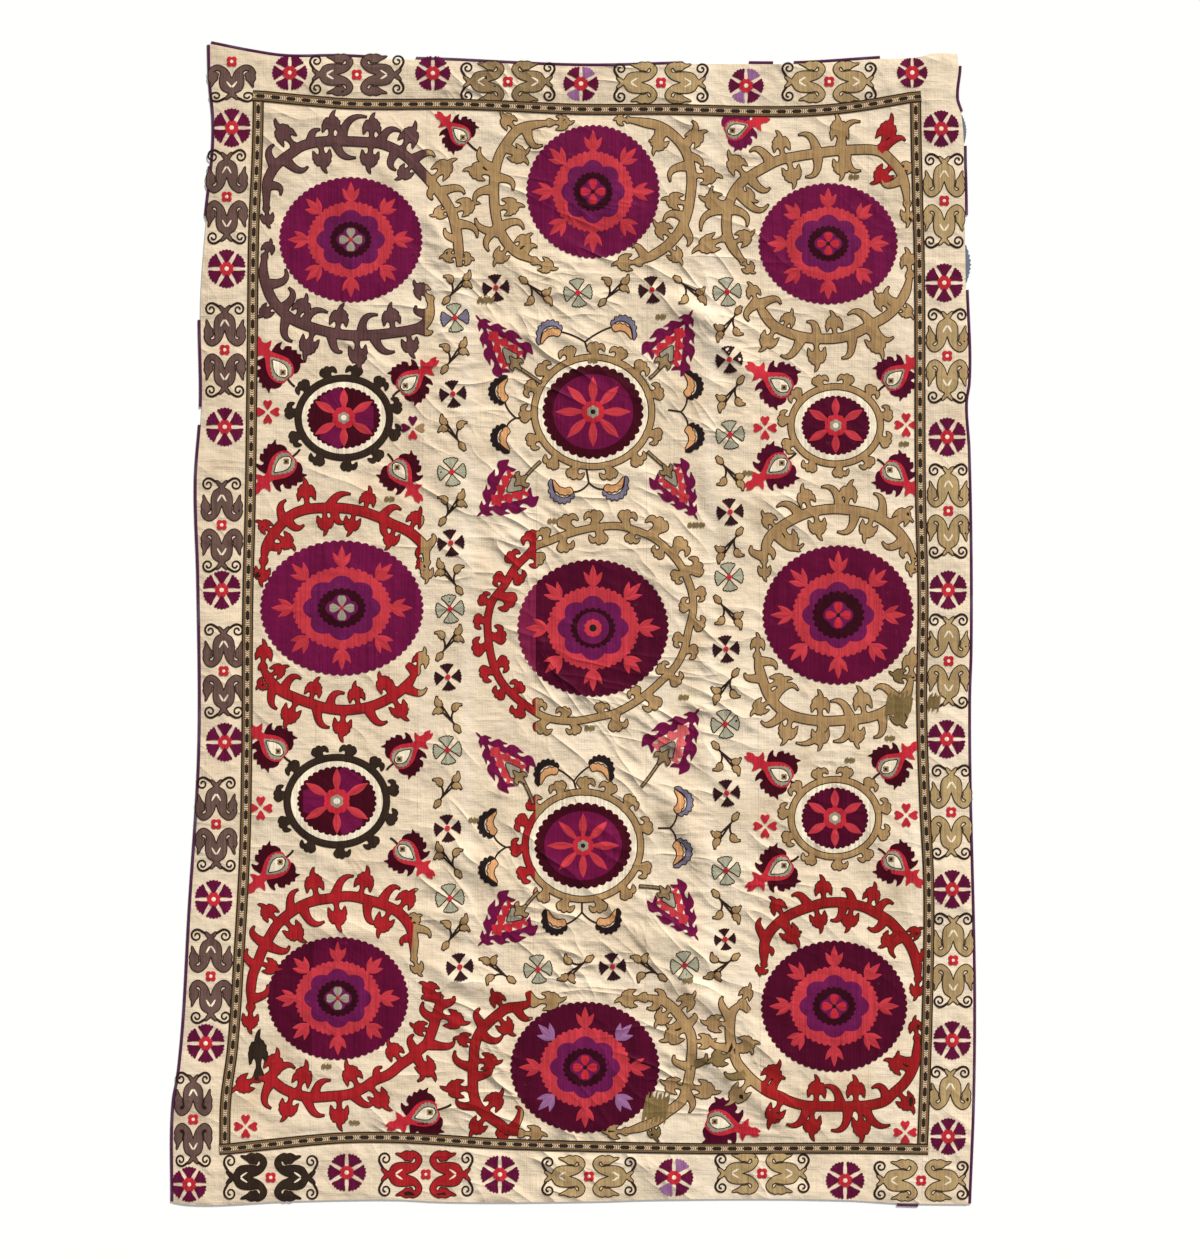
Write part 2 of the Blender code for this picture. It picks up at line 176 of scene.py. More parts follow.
# Lesser creases: a negative height is a trough in a fold
CREASES = [Fold(*row) for row in (
    ("beside_upper_ring", 700, 338, 742, 352, 757, 385, 0.014, 0.0022),
    ("upper_right_thin", 640, 285, 700, 306, 745, 345, 0.014, 0.0018),
    ("upper_left_level", 430, 275, 465, 282, 500, 290, 0.014, 0.0014),
    ("under_first_flower", 427, 333, 450, 333, 482, 335, 0.012, 0.0022),
    ("left_column_short", 440, 470, 450, 484, 460, 500, 0.014, 0.0014),
    ("right_column_short", 700, 520, 720, 536, 740, 550, 0.014, 0.0016),
    ("left_level_upper", 425, 600, 460, 604, 500, 612, 0.015, 0.0012),
    ("left_level_lower", 420, 635, 450, 636, 480, 640, 0.015, 0.0012),
    ("left_slant_thin", 440, 805, 472, 832, 524, 864, 0.013, 0.0020),
    ("left_slant_wide", 425, 835, 450, 858, 480, 880, 0.018, 0.0018),
    ("left_cross_thin", 415, 910, 446, 914, 480, 920, 0.013, 0.0018),
    ("lower_left_thin", 440, 978, 480, 984, 520, 993, 0.013, 0.0020),
    ("right_of_ring_short", 690, 754, 706, 766, 721, 779, 0.013, 0.0016),
    ("right_of_ring_long", 656, 804, 680, 834, 709, 864, 0.013, 0.0018),
    ("rake_1", 620, 905, 672, 922, 720, 950, 0.014, 0.0018),
    ("rake_2", 640, 930, 700, 946, 760, 965, 0.014, 0.0016),
    ("rake_3", 680, 985, 700, 996, 724, 1012, 0.013, 0.0026),
    ("long_ridge", 672, 1030, 738, 1088, 812, 1142, 0.014, 0.0024),
    ("beside_corner_ring", 749, 1023, 768, 1052, 792, 1075, 0.013, 0.0018),
    ("right_edge_upright", 890, 850, 902, 894, 915, 940, 0.016, 0.0016),
    ("lower_left_line", 252, 1114, 296, 1124, 340, 1131, 0.012, 0.0014),
    ("over_medallion_ridge", 302, 921, 340, 934, 382, 933, 0.014, 0.0020),
    ("right_middle_thin", 721, 704, 748, 724, 777, 745, 0.012, 0.0014),
    ("upper_left_1", 375, 160, 388, 174, 400, 190, 0.013, 0.0014),
    ("upper_left_2", 395, 110, 412, 119, 430, 130, 0.013, 0.0014),
    ("upper_left_3", 430, 130, 438, 150, 445, 170, 0.013, 0.0014),
    ("upper_left_4", 420, 205, 440, 232, 455, 262, 0.013, 0.0020),
    ("top_border_1", 372, 66, 392, 84, 418, 92, 0.012, 0.0010),
    ("top_border_2", 470, 72, 486, 84, 500, 94, 0.012, 0.0010),
    ("bottom_border_1", 524, 1158, 530, 1174, 540, 1192, 0.012, 0.0012),
    ("bottom_border_2", 236, 1160, 262, 1164, 290, 1170, 0.012, 0.0010),
    ("left_border_1", 206, 292, 222, 296, 240, 298, 0.012, 0.0012),
    ("right_border_1", 932, 1006, 944, 1008, 958, 1008, 0.012, 0.0012))]


class Dye(Enum):
    """Silk and cotton colours, as linear red, green and blue."""
    PURPLE = (0.138, 0.004, 0.045)
    LIGHT_PURPLE = (0.192, 0.012, 0.052)
    PLUM = (0.105, 0.002, 0.028)
    VIOLET = (0.128, 0.007, 0.064)
    DARK_PURPLE = (0.069, 0.001, 0.016)
    MAROON = (0.046, 0.001, 0.007)
    NEAR_BLACK = (0.030, 0.001, 0.006)
    RED = (0.470, 0.020, 0.034)
    CORAL = (0.480, 0.034, 0.048)
    PINK = (0.620, 0.110, 0.120)
    VINE_RED = (0.340, 0.012, 0.016)
    DARK_RED = (0.275, 0.010, 0.011)
    MAUVE = (0.103, 0.045, 0.045)
    TAN = (0.360, 0.215, 0.098)
    BROWN_TAN = (0.250, 0.160, 0.078)
    OLIVE = (0.190, 0.122, 0.048)
    DARK_OLIVE = (0.030, 0.017, 0.011)
    GREY = (0.290, 0.250, 0.190)
    GREY_GREEN = (0.350, 0.330, 0.240)
    SLATE = (0.175, 0.150, 0.215)
    LILAC = (0.290, 0.120, 0.270)
    ORANGE = (0.600, 0.290, 0.125)
    OUTLINE = (0.026, 0.011, 0.007)
    BLACK = (0.014, 0.008, 0.009)
    CREAM = (0.800, 0.670, 0.520)
    DUSKY = (0.128, 0.070, 0.060)
    LEAF_TAN = (0.400, 0.268, 0.130)
    ROSETTE = (0.108, 0.004, 0.034)
    PETAL_DARK = (0.028, 0.006, 0.009)


def place(across: np.ndarray, down: np.ndarray) -> tuple:
    """Metres right of and above the origin, from pixel columns and rows."""
    return (across - CENTRE_ACROSS) * PIXEL, (CENTRE_DOWN - down) * PIXEL


def follow(points: Sequence[Point], along: np.ndarray) -> np.ndarray:
    """A smooth line through a table's points: each stretch is a cubic whose end slopes are the mean
    of the slopes of the stretches beside it.

    Args:
        points: the table.
        along: places along it at which to read it.

    Returns:
        The line's place across, at each of those.
    """
    at = np.array([p.along for p in points], float)
    value = np.array([p.across for p in points], float)
    slope = np.diff(value) / np.diff(at)
    ends = np.concatenate([slope[:1], (slope[:-1] + slope[1:]) / 2, slope[-1:]])
    along = np.asarray(along, float)
    i = np.clip(np.searchsorted(at, along) - 1, 0, len(at) - 2)
    width = at[i + 1] - at[i]
    t = np.clip((along - at[i]) / width, 0, 1)
    rise = value[i + 1] - value[i]
    start, stop = ends[i] * width, ends[i + 1] * width
    return value[i] + t * start + t**2 * (3 * rise - 2 * start - stop) + t**3 * (
        start + stop - 2 * rise)


def smooth(t: np.ndarray) -> np.ndarray:
    """0 below 0, 1 above 1 and a soft S between."""
    t = np.clip(t, 0, 1)
    return t * t * (3 - 2 * t)


def fold_height(fold: Fold, across: np.ndarray, down: np.ndarray) -> np.ndarray:
    """Height of one fold: a soft ridge along a bent line, cosine squared across, tapered at both
    ends.

    Args:
        fold: its row.
        across: pixel columns.
        down: pixel rows.

    Returns:
        Heights in metres.
    """
    t = np.linspace(0, 1, FOLD_STEPS + 1)
    line_x = (1 - t)**2 * fold.x0 + 2 * t * (1 - t) * fold.x1 + t**2 * fold.x2
    line_y = (1 - t)**2 * fold.y0 + 2 * t * (1 - t) * fold.y1 + t**2 * fold.y2
    run_x, run_y = np.diff(line_x), np.diff(line_y)
    off_x = across[..., None] - line_x[:-1]
    off_y = down[..., None] - line_y[:-1]
    share = np.clip((off_x * run_x + off_y * run_y) / (run_x**2 + run_y**2), 0, 1)
    away = np.hypot(off_x - share * run_x, off_y - share * run_y)
    nearest = away.argmin(axis=-1)[..., None]
    away = np.take_along_axis(away, nearest, -1)[..., 0] * PIXEL
    position = (nearest + np.take_along_axis(share, nearest, -1))[..., 0] / FOLD_STEPS
    taper = smooth(position / FOLD_TAPER) * smooth((1 - position) / FOLD_TAPER)
    across_fold = np.cos(np.clip(away / fold.half, 0, 1) * np.pi / 2)**2
    return fold.high * across_fold * taper


class Drape:
    """The cloth's height over the surface it lies on, worked out once on a square raster and read
    between the raster's points."""

    STEP = 2.0            # pixels between raster points
    LOW = (150.0, 20.0)   # first column and row
    HIGH = (1000.0, 1230.0)
    WAVES = ((0.021, 0.012, 0.4), (-0.017, 0.026, 1.9), (0.043, -0.019, 3.1),
             (0.034, 0.052, 5.0), (-0.062, 0.031, 0.9), (0.078, 0.071, 2.6))
    WAVE_HIGH = 0.00028

    def __init__(self) -> None:
        """Fills the raster: the highest fold, and the creases and faint waves added to it, all
        faded out beside the tapes."""
        self.columns = np.arange(self.LOW[0], self.HIGH[0] + 1, self.STEP)
        self.rows = np.arange(self.LOW[1], self.HIGH[1] + 1, self.STEP)
        across, down = np.meshgrid(self.columns, self.rows)
        folds = np.zeros_like(across)
        for fold in FOLDS:
            self._merge(folds, fold, across, down, np.maximum)
        lesser = np.zeros_like(across)
        for crease in CREASES:
            self._merge(lesser, crease, across, down, np.add)
        waves = sum(np.sin(across * a + down * b + c) for a, b, c in self.WAVES) + len(self.WAVES)
        field_side = np.minimum.reduce([
            across - follow(LEFT_JOIN, down), follow(RIGHT_JOIN, down) - across,
            down - follow(TOP_JOIN, across), follow(BOTTOM_JOIN, across) - down]) * PIXEL
        outer_side = np.minimum.reduce([
            across - follow(LEFT_EDGE, down), follow(RIGHT_EDGE, down) - across,
            down - follow(TOP_EDGE, across), follow(BOTTOM_EDGE, across) - down]) * PIXEL
        fade = smooth((field_side - FLAT_BESIDE_TAPE) / (FULL_HEIGHT_AT - FLAT_BESIDE_TAPE))
        near_tape = smooth((np.abs(field_side) - FLAT_BESIDE_TAPE) / FLAT_BESIDE_TAPE)
        near_tape = near_tape * smooth(outer_side / FLAT_BESIDE_TAPE)
        self.rise = folds * fade + (lesser + waves * self.WAVE_HIGH) * near_tape

    def _merge(self, raster: np.ndarray, fold: Fold, across: np.ndarray, down: np.ndarray,
               join: np.ufunc) -> None:
        """Works one fold out only where it reaches, and joins it to the raster.

        Args:
            raster: what it is joined to, changed in place.
            fold: its row.
            across: the raster's pixel columns.
            down: the raster's pixel rows.
            join: how the two are joined, such as the higher of both.
        """
        reach = fold.half / PIXEL + self.STEP
        xs, ys = (fold.x0, fold.x1, fold.x2), (fold.y0, fold.y1, fold.y2)
        left, right = np.searchsorted(self.columns, (min(xs) - reach, max(xs) + reach))
        upper, lower = np.searchsorted(self.rows, (min(ys) - reach, max(ys) + reach))
        part = (slice(upper, lower), slice(left, right))
        raster[part] = join(raster[part], fold_height(fold, across[part], down[part]))

    def height(self, x: np.ndarray, y: np.ndarray) -> np.ndarray:
        """The underside's height, linear between the four raster points round each place.

        Args:
            x: metres right of the origin.
            y: metres above it.

        Returns:
            Heights in metres.
        """
        column = (x / PIXEL + CENTRE_ACROSS - self.LOW[0]) / self.STEP
        row = (CENTRE_DOWN - y / PIXEL - self.LOW[1]) / self.STEP
        i = np.clip(np.floor(column).astype(int), 0, len(self.columns) - 2)
        j = np.clip(np.floor(row).astype(int), 0, len(self.rows) - 2)
        s, t = np.clip(column - i, 0, 1), np.clip(row - j, 0, 1)
        upper = self.rise[j, i] * (1 - s) + self.rise[j, i + 1] * s
        lower = self.rise[j + 1, i] * (1 - s) + self.rise[j + 1, i + 1] * s
        return upper * (1 - t) + lower * t

    def top(self, x: np.ndarray, y: np.ndarray) -> np.ndarray:
        """Height of the cloth's face."""
        return self.height(x, y) + CLOTH_THICK


@dataclass
class Body:
    """A mesh being gathered as arrays: points, faces of three or four corners, and what each point
    carries for its material."""
    points: np.ndarray
    faces: np.ndarray
    dye: Optional[np.ndarray] = None
    left_dye: Optional[np.ndarray] = None
    seam: Optional[np.ndarray] = None
    chart: Optional[np.ndarray] = None

    @staticmethod
    def joined(bodies: Sequence["Body"]) -> "Body":
        """All the bodies as one.

        Args:
            bodies: what is joined.

        Returns:
            One body, its faces renumbered.
        """
        starts = np.cumsum([0] + [len(body.points) for body in bodies[:-1]])
        faces = [np.where(body.faces < 0, -1, body.faces + start)
                 for body, start in zip(bodies, starts)]
        return Body(
            np.concatenate([body.points for body in bodies]), np.concatenate(faces),
            *(None if getattr(bodies[0], part) is None
              else np.concatenate([getattr(body, part) for body in bodies])
              for part in ("dye", "left_dye", "seam", "chart")))

    def build(self, name: str, material: bpy.types.Material) -> bpy.types.Object:
        """Puts the arrays into an object at the origin.

        Args:
            name: the piece's name.
            material: its finish.

        Returns:
            The object.
        """
        mesh = bpy.data.meshes.new(name)
        kept = self.faces >= 0
        corners = self.faces[kept].astype(np.int32)
        sizes = kept.sum(axis=1)
        mesh.vertices.add(len(self.points))
        mesh.vertices.foreach_set("co", self.points.astype(np.float32).ravel())
        mesh.loops.add(len(corners))
        mesh.loops.foreach_set("vertex_index", corners)
        mesh.polygons.add(len(self.faces))
        mesh.polygons.foreach_set("loop_start", (np.cumsum(sizes) - sizes).astype(np.int32))
        mesh.polygons.foreach_set("use_smooth", np.ones(len(self.faces), bool))
        mesh.update(calc_edges=True)
        mesh.set_sharp_from_angle(angle=math.radians(SMOOTH_UNDER))
        if self.chart is not None:
            layer = mesh.uv_layers.new(name="thread")
            layer.data.foreach_set("uv", self.chart[corners].astype(np.float32).ravel())
        for label, values in (("dye", self.dye), ("left_dye", self.left_dye)):
            if values is not None:
                colours = np.concatenate([values, np.ones((len(values), 1))], axis=1)
                layer = mesh.attributes.new(label, "FLOAT_COLOR", "POINT")
                layer.data.foreach_set("color", colours.astype(np.float32).ravel())
        if self.seam is not None:
            layer = mesh.attributes.new("seam", "FLOAT", "POINT")
            layer.data.foreach_set("value", self.seam.astype(np.float32))
        mesh.materials.append(material)
        thing = bpy.data.objects.new(name, mesh)
        bpy.context.scene.collection.objects.link(thing)
        return thing


def wrap_faces(number: np.ndarray) -> np.ndarray:
    """Faces of a tube whose rows of points are numbered in a grid, closed round each row.

    Args:
        number: grid of point numbers, one row for each ring.

    Returns:
        One four-cornered face for each cell.
    """
    beside = np.roll(number, -1, axis=1)
    return np.stack([number[:-1], beside[:-1], beside[1:], number[1:]], axis=-1).reshape(-1, 4)


def corners_of(ring: Sequence[int]) -> np.ndarray:
    """Faces of three or four corners that fill a ring of three to eight points."""
    ring = list(ring)
    faces = []
    while len(ring) > 4:
        faces.append([ring[0], ring[1], ring[2], ring[3]])
        ring = [ring[0]] + ring[3:]
    faces.append(ring + [-1] * (4 - len(ring)))
    return np.array(faces)


def chart(text: str) -> np.ndarray:
    """Pixel places from a line of 'across,down' pairs."""
    return np.array([[float(value) for value in pair.split(",")] for pair in text.split()])


def curve(points: np.ndarray, per: int = 4, closed: bool = False) -> np.ndarray:
    """A smooth line through points: on each stretch the cubic that leaves and meets its ends along
    the line between their neighbours.

    Args:
        points: the places it passes.
        per: steps to a stretch.
        closed: whether the last stretch runs back to the first point.

    Returns:
        The places along it.
    """
    if closed:
        around = np.concatenate([points[-1:], points, points[:2]])
    else:
        around = np.concatenate([2 * points[:1] - points[1:2], points,
                                 2 * points[-1:] - points[-2:-1]])
    a, b, c, d = (around[i:len(around) - 3 + i][:, None] for i in range(4))
    t = (np.arange(per) / per)[None, :, None]
    line = 0.5 * (2 * b + (c - a) * t + (2 * a - 5 * b + 4 * c - d) * t**2
                  + (3 * b - a - 3 * c + d) * t**3)
    line = line.reshape(-1, 2)
    return line if closed else np.concatenate([line, points[-1:]])


def bent(start: Sequence[float], bend: Sequence[float], end: Sequence[float],
         steps: int) -> np.ndarray:
    """Places along the parabola from start to end that heads for the bend first."""
    t = np.linspace(0, 1, steps + 1)[:, None]
    start, bend, end = np.array(start), np.array(bend), np.array(end)
    return (1 - t)**2 * start + 2 * t * (1 - t) * bend + t**2 * end


def profile(steps: int, *stops: float) -> np.ndarray:
    """Half widths at equal steps, read from stops spread evenly from start to end and rounded."""
    t = np.linspace(0, len(stops) - 1, steps + 1)
    i = np.clip(np.floor(t).astype(int), 0, len(stops) - 2)
    stops = np.array(stops, float)
    return stops[i] + (stops[i + 1] - stops[i]) * (t - i)


def scallops(count: int, depth: float) -> Rule:
    """A radius rule: 1 at the tips of 'count' round lobes and 1 - depth between them."""
    return lambda turn: 1 - depth * (1 - np.abs(np.sin(count * turn / 2)))


class Spot:
    """A motif's own axes on the cloth, in pixels: u along its direction and v to the left of it."""

    def __init__(self, across: float, down: float, angle: float = 0.0, mirror: bool = False,
                 scale: float = 1.0) -> None:
        """Args: the motif's place, its direction in degrees, whether v is turned over, its size."""
        turn = math.radians(angle)
        self.centre = np.array([across, down], float)
        self.along = np.array([math.cos(turn), -math.sin(turn)]) * scale
        self.side = np.array([-math.sin(turn), -math.cos(turn)]) * scale * (-1 if mirror else 1)
        self.angle = angle

    def at(self, u: float, v: float) -> np.ndarray:
        """Pixel place of a point given in the motif's own axes."""
        return self.centre + self.along * u + self.side * v

    def line(self, text: str) -> np.ndarray:
        """Pixel places of a charted line given in the motif's own axes."""
        local = chart(text)
        return self.centre + local[:, :1] * self.along + local[:, 1:] * self.side


class Silk:
    """Gathers the embroidered patches of one piece. Each patch is a low closed body that follows
    the cloth, its level saying how high it lies over other patches."""

    def __init__(self, name: str, drape: Drape) -> None:
        """Args: the piece's name and the cloth that it lies on."""
        self.name = name
        self.drape = drape
        self.bodies: list = []
        self.left_dye: Optional[Dye] = None
        self.seam: Optional[Sequence[Point]] = None

    def _add(self, flat: np.ndarray, lift: np.ndarray, faces: np.ndarray, dye: Dye, level: int,
             grain: float) -> None:
        """Adds one patch.

        Args:
            flat: its points in metres, x and y.
            lift: their height within the layer, in metres.
            faces: its faces.
            dye: its colour.
            level: its layer.
            grain: direction of its threads in degrees.
        """
        spread = SPREAD * (len(self.bodies) % SPREAD_TURNS)
        x, y = flat[:, 0], flat[:, 1]
        z = self.drape.top(x, y) + LAYER_LOW + LAYER_STEP * level + lift + spread
        turn = math.radians(grain)
        across = x * math.sin(turn) - y * math.cos(turn)
        along = x * math.cos(turn) + y * math.sin(turn)
        seam = np.full(len(x), NO_SEAM)
        if self.seam is not None:
            line = follow(self.seam, CENTRE_DOWN - y / PIXEL)
            seam = x - (line - CENTRE_ACROSS) * PIXEL
        left = self.left_dye or dye
        self.bodies.append(Body(
            np.stack([x, y, z], axis=1), faces, np.tile(dye.value, (len(x), 1)),
            np.tile(left.value, (len(x), 1)), seam, np.stack([across, along], axis=1)))

    def strip(self, line: np.ndarray, half: Union[float, np.ndarray], dye: Dye, level: int = 1,
              grain: float = UPRIGHT, closed: bool = False) -> None:
        """A padded strip: a low trapezoid, or a ridge where it is thin, carried along a line.

        Args:
            line: pixel places of its middle.
            half: half its width in pixels.
            dye: its colour.
            level: its layer.
            grain: direction of its threads in degrees.
            closed: whether the line runs round.
        """
        count = len(line)
        half = np.broadcast_to(np.asarray(half, float), count) * PIXEL
        flat = np.stack(place(line[:, 0], line[:, 1]), axis=1)
        if closed:
            run = np.roll(flat, -1, axis=0) - np.roll(flat, 1, axis=0)
        else:
            run = np.gradient(flat, axis=0)
        run = run / np.maximum(np.linalg.norm(run, axis=1)[:, None], 1e-9)
        side = np.stack([-run[:, 1], run[:, 0]], axis=1)
        widest = (half + half).max() / PIXEL
        share, rise = next(np.array(section) for limit, *section in SECTIONS if widest < limit)
        reach = share * half[:, None]
        points = flat[:, None] + side[:, None] * reach[..., None]
        lift = np.broadcast_to(rise * LAYER_RISE, points.shape[:2])
        number = np.arange(count * len(share)).reshape(count, len(share))
        if closed:
            faces = wrap_faces(np.concatenate([number, number[:1]]))
        else:
            faces = np.concatenate([wrap_faces(number), corners_of(number[0, ::-1]),
                                    corners_of(number[-1])])
        self._add(points.reshape(-1, 2), lift.ravel(), faces, dye, level, grain)

    def edged(self, line: np.ndarray, half: Union[float, np.ndarray], dye: Dye, level: int = 2,
              closed: bool = False) -> None:
        """A strip with a thin dark outline: a wider strip lies under it, a little longer.

        Args:
            line: pixel places of its middle.
            half: half its width in pixels.
            dye: its colour.
            level: the filled strip's layer, the outline being one lower.
            closed: whether the line runs round.
        """
        self.strip(line, half, dye, level, closed=closed)
        longer = line
        if not closed:
            longer = line.copy()
            for end, beside in ((0, 1), (-1, -2)):
                run = line[end] - line[beside]
                longer[end] += run / max(np.hypot(*run), 1e-6) * OUTLINE_OUT
        kept, self.left_dye = self.left_dye, None
        self.strip(longer, np.asarray(half) + OUTLINE_OUT, Dye.OUTLINE, level - 1, closed=closed)
        self.left_dye = kept

    def disc(self, across: float, down: float, half_w: float, half_h: float, dye: Dye,
             level: int = 1, rule: Optional[Rule] = None, rings: int = 2, points: int = 96,
             turn: float = 0.0) -> None:
        """A padded round patch: rings of an ellipse scaled by a radius rule of the angle, out over
        the top to the rim and back below it to a lower middle.

        Args:
            across: pixel column of its middle.
            down: pixel row of its middle.
            half_w: half its width in pixels.
            half_h: half its height in pixels.
            dye: its colour.
            level: its layer.
            rule: radius as a share, from angles in radians.
            rings: rings from the middle to the rim.
            points: points round it.
            turn: degrees by which the rule is turned.
        """
        edge = min(0.4, 1.5 / min(half_w, half_h))
        over = np.append(np.linspace(0, 1 - edge, rings)[1:], 1.0)
        under = np.linspace(1, 0, max(2, rings // 2 + 1))[1:-1]
        share = np.concatenate([over, under])
        rise = np.concatenate([np.ones(len(over) - 1), [0.0], np.full(len(under), -0.1)])
        angle = np.linspace(0, 2 * np.pi, points, endpoint=False)
        radius = np.ones(points) if rule is None else rule(angle - math.radians(turn))
        x, y = place(np.array(across, float), np.array(down, float))
        ring = np.stack([np.cos(angle) * half_w, np.sin(angle) * half_h], axis=1) * PIXEL
        ring = ring * radius[:, None]
        grid = np.array([x, y]) + share[:, None, None] * ring
        flat = np.concatenate([grid.reshape(-1, 2), [[x, y], [x, y]]])
        lift = np.concatenate([np.repeat(rise, points), [1.0, -0.1]]) * LAYER_RISE
        number = np.arange(len(share) * points).reshape(len(share), points)
        beside = np.roll(number, -1, axis=1)
        walls = np.stack([number[:-1], number[1:], beside[1:], beside[:-1]], axis=-1)
        first, last = np.full(points, number.size), np.full(points, number.size + 1)
        none = np.full(points, -1)
        faces = np.concatenate([
            walls.reshape(-1, 4), np.stack([first, number[0], beside[0], none], axis=1),
            np.stack([number[-1], last, beside[-1], none], axis=1)])
        self._add(flat, lift, faces, dye, level, UPRIGHT)

    def shape(self, outline: np.ndarray, dye: Dye, level: int = 2, edge: Optional[Dye] = None,
              grain: float = UPRIGHT, per: int = 3) -> None:
        """A padded patch inside a closed outline, with inner points so that it follows the cloth.

        Args:
            outline: pixel places round it, joined by a smooth curve.
            dye: its colour.
            level: its layer.
            edge: colour of a thin outline laid one layer lower, if it has one.
            grain: direction of its threads in degrees.
            per: points on the curve for each place of the outline.
        """
        rim = curve(outline, per, True)
        self._fill(rim, dye, level, grain)
        if edge is None:
            return
        run = np.roll(rim, -1, axis=0) - np.roll(rim, 1, axis=0)
        run /= np.maximum(np.linalg.norm(run, axis=1)[:, None], 1e-9)
        turned = rim[:, 0] @ np.roll(rim[:, 1], -1) - rim[:, 1] @ np.roll(rim[:, 0], -1)
        out = np.stack([run[:, 1], -run[:, 0]], axis=1) * (1 if turned > 0 else -1)
        kept, self.left_dye = self.left_dye, None
        self._fill(rim + out * OUTLINE_OUT, edge, level - 1, grain)
        self.left_dye = kept

    def _fill(self, rim: np.ndarray, dye: Dye, level: int, grain: float) -> None:
        """A closed body over a rim: triangles between the rim and a lattice inside it, the same
        below, and walls along every edge that only one triangle has.

        Args:
            rim: pixel places round it.
            dye: its colour.
            level: its layer.
            grain: direction of its threads in degrees.
        """
        low, high = rim.min(axis=0), rim.max(axis=0)
        u, v = np.meshgrid(*(np.arange(start + 2, stop, LATTICE) for start, stop in zip(low, high)))
        inner = np.stack([u.ravel(), v.ravel()], axis=1)
        after = np.roll(rim, -1, axis=0)
        above = (rim[None, :, 1] > inner[:, 1:]) != (after[None, :, 1] > inner[:, 1:])
        rise = np.where(after[:, 1] == rim[:, 1], 1e-9, after[:, 1] - rim[:, 1])
        meet = rim[:, 0] + (inner[:, 1:] - rim[:, 1]) * (after[:, 0] - rim[:, 0]) / rise
        inside = (above & (inner[:, :1] < meet)).sum(axis=1) % 2 == 1
        away = np.linalg.norm(inner[:, None] - rim[None], axis=-1).min(axis=1) > LATTICE * 0.4
        inner = inner[inside & away]
        spots = np.concatenate([rim, inner])
        count = len(rim)
        edges = np.stack([np.arange(count), (np.arange(count) + 1) % count], axis=1)
        found = delaunay_2d_cdt([Vector(p) for p in spots], edges.tolist(), [], 1, 1e-4)
        flat = np.array([(p.x, p.y) for p in found[0]])
        faces = np.array(found[2])[:, ::-1]
        total = len(flat)
        pairs = np.concatenate([faces[:, [0, 1]], faces[:, [1, 2]], faces[:, [2, 0]]])
        keys = pairs[:, 0] * total + pairs[:, 1]
        lone = pairs[~np.isin(keys, pairs[:, 1] * total + pairs[:, 0])]
        walls = np.stack([lone[:, 1], lone[:, 0], lone[:, 0] + total, lone[:, 1] + total], axis=1)
        lift = np.ones(total)
        lift[np.unique(lone)] = 0.25
        x, y = place(flat[:, 0], flat[:, 1])
        level_flat = np.stack([x, y], axis=1)
        none = np.full((len(faces), 1), -1)
        top = np.concatenate([faces, none], axis=1)
        bottom = np.concatenate([faces[:, ::-1] + total, none], axis=1)
        self._add(np.concatenate([level_flat, level_flat]),
                  np.concatenate([lift, np.full(total, -0.2)]) * LAYER_RISE,
                  np.concatenate([top, bottom, walls]), dye, level, grain)

    def petal(self, spot: Spot, start: float, end: float, widths: Sequence[float], dye: Dye,
              level: int = 2, steps: int = 6) -> None:
        """A strip along a spot's direction, with widths read from even stops.

        Args:
            spot: where it grows from and its direction.
            start: pixels from the spot to its root.
            end: pixels from the spot to its tip.
            widths: half widths from root to tip.
            dye: its colour.
            level: its layer.
            steps: steps from root to tip.
        """
        line = bent(spot.at(start, 0), spot.at((start + end) / 2, 0), spot.at(end, 0), steps)
        self.strip(line, profile(steps, *widths), dye, level, spot.angle)

    def halves(self, left_dye: Optional[Dye] = None, seam: int = 0) -> None:
        """Says which dye the next patches have to the left of a loom seam.

        Args:
            left_dye: that dye, or none where they have their own on both sides.
            seam: the seam's number, from the left.
        """
        self.seam = LOOM_SEAMS[seam] if left_dye else None
        self.left_dye = left_dye

    def build(self, material: bpy.types.Material) -> bpy.types.Object:
        """Makes the piece of all patches.

        Args:
            material: the silk finish.

        Returns:
            The object, riding on the part's one body.
        """
        body = Body.joined(self.bodies)
        thing = body.build(self.name, material)
        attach(thing, "root")
        LOG.info("%s: %d patches, %d faces", self.name, len(self.bodies), len(body.faces))
        return thing


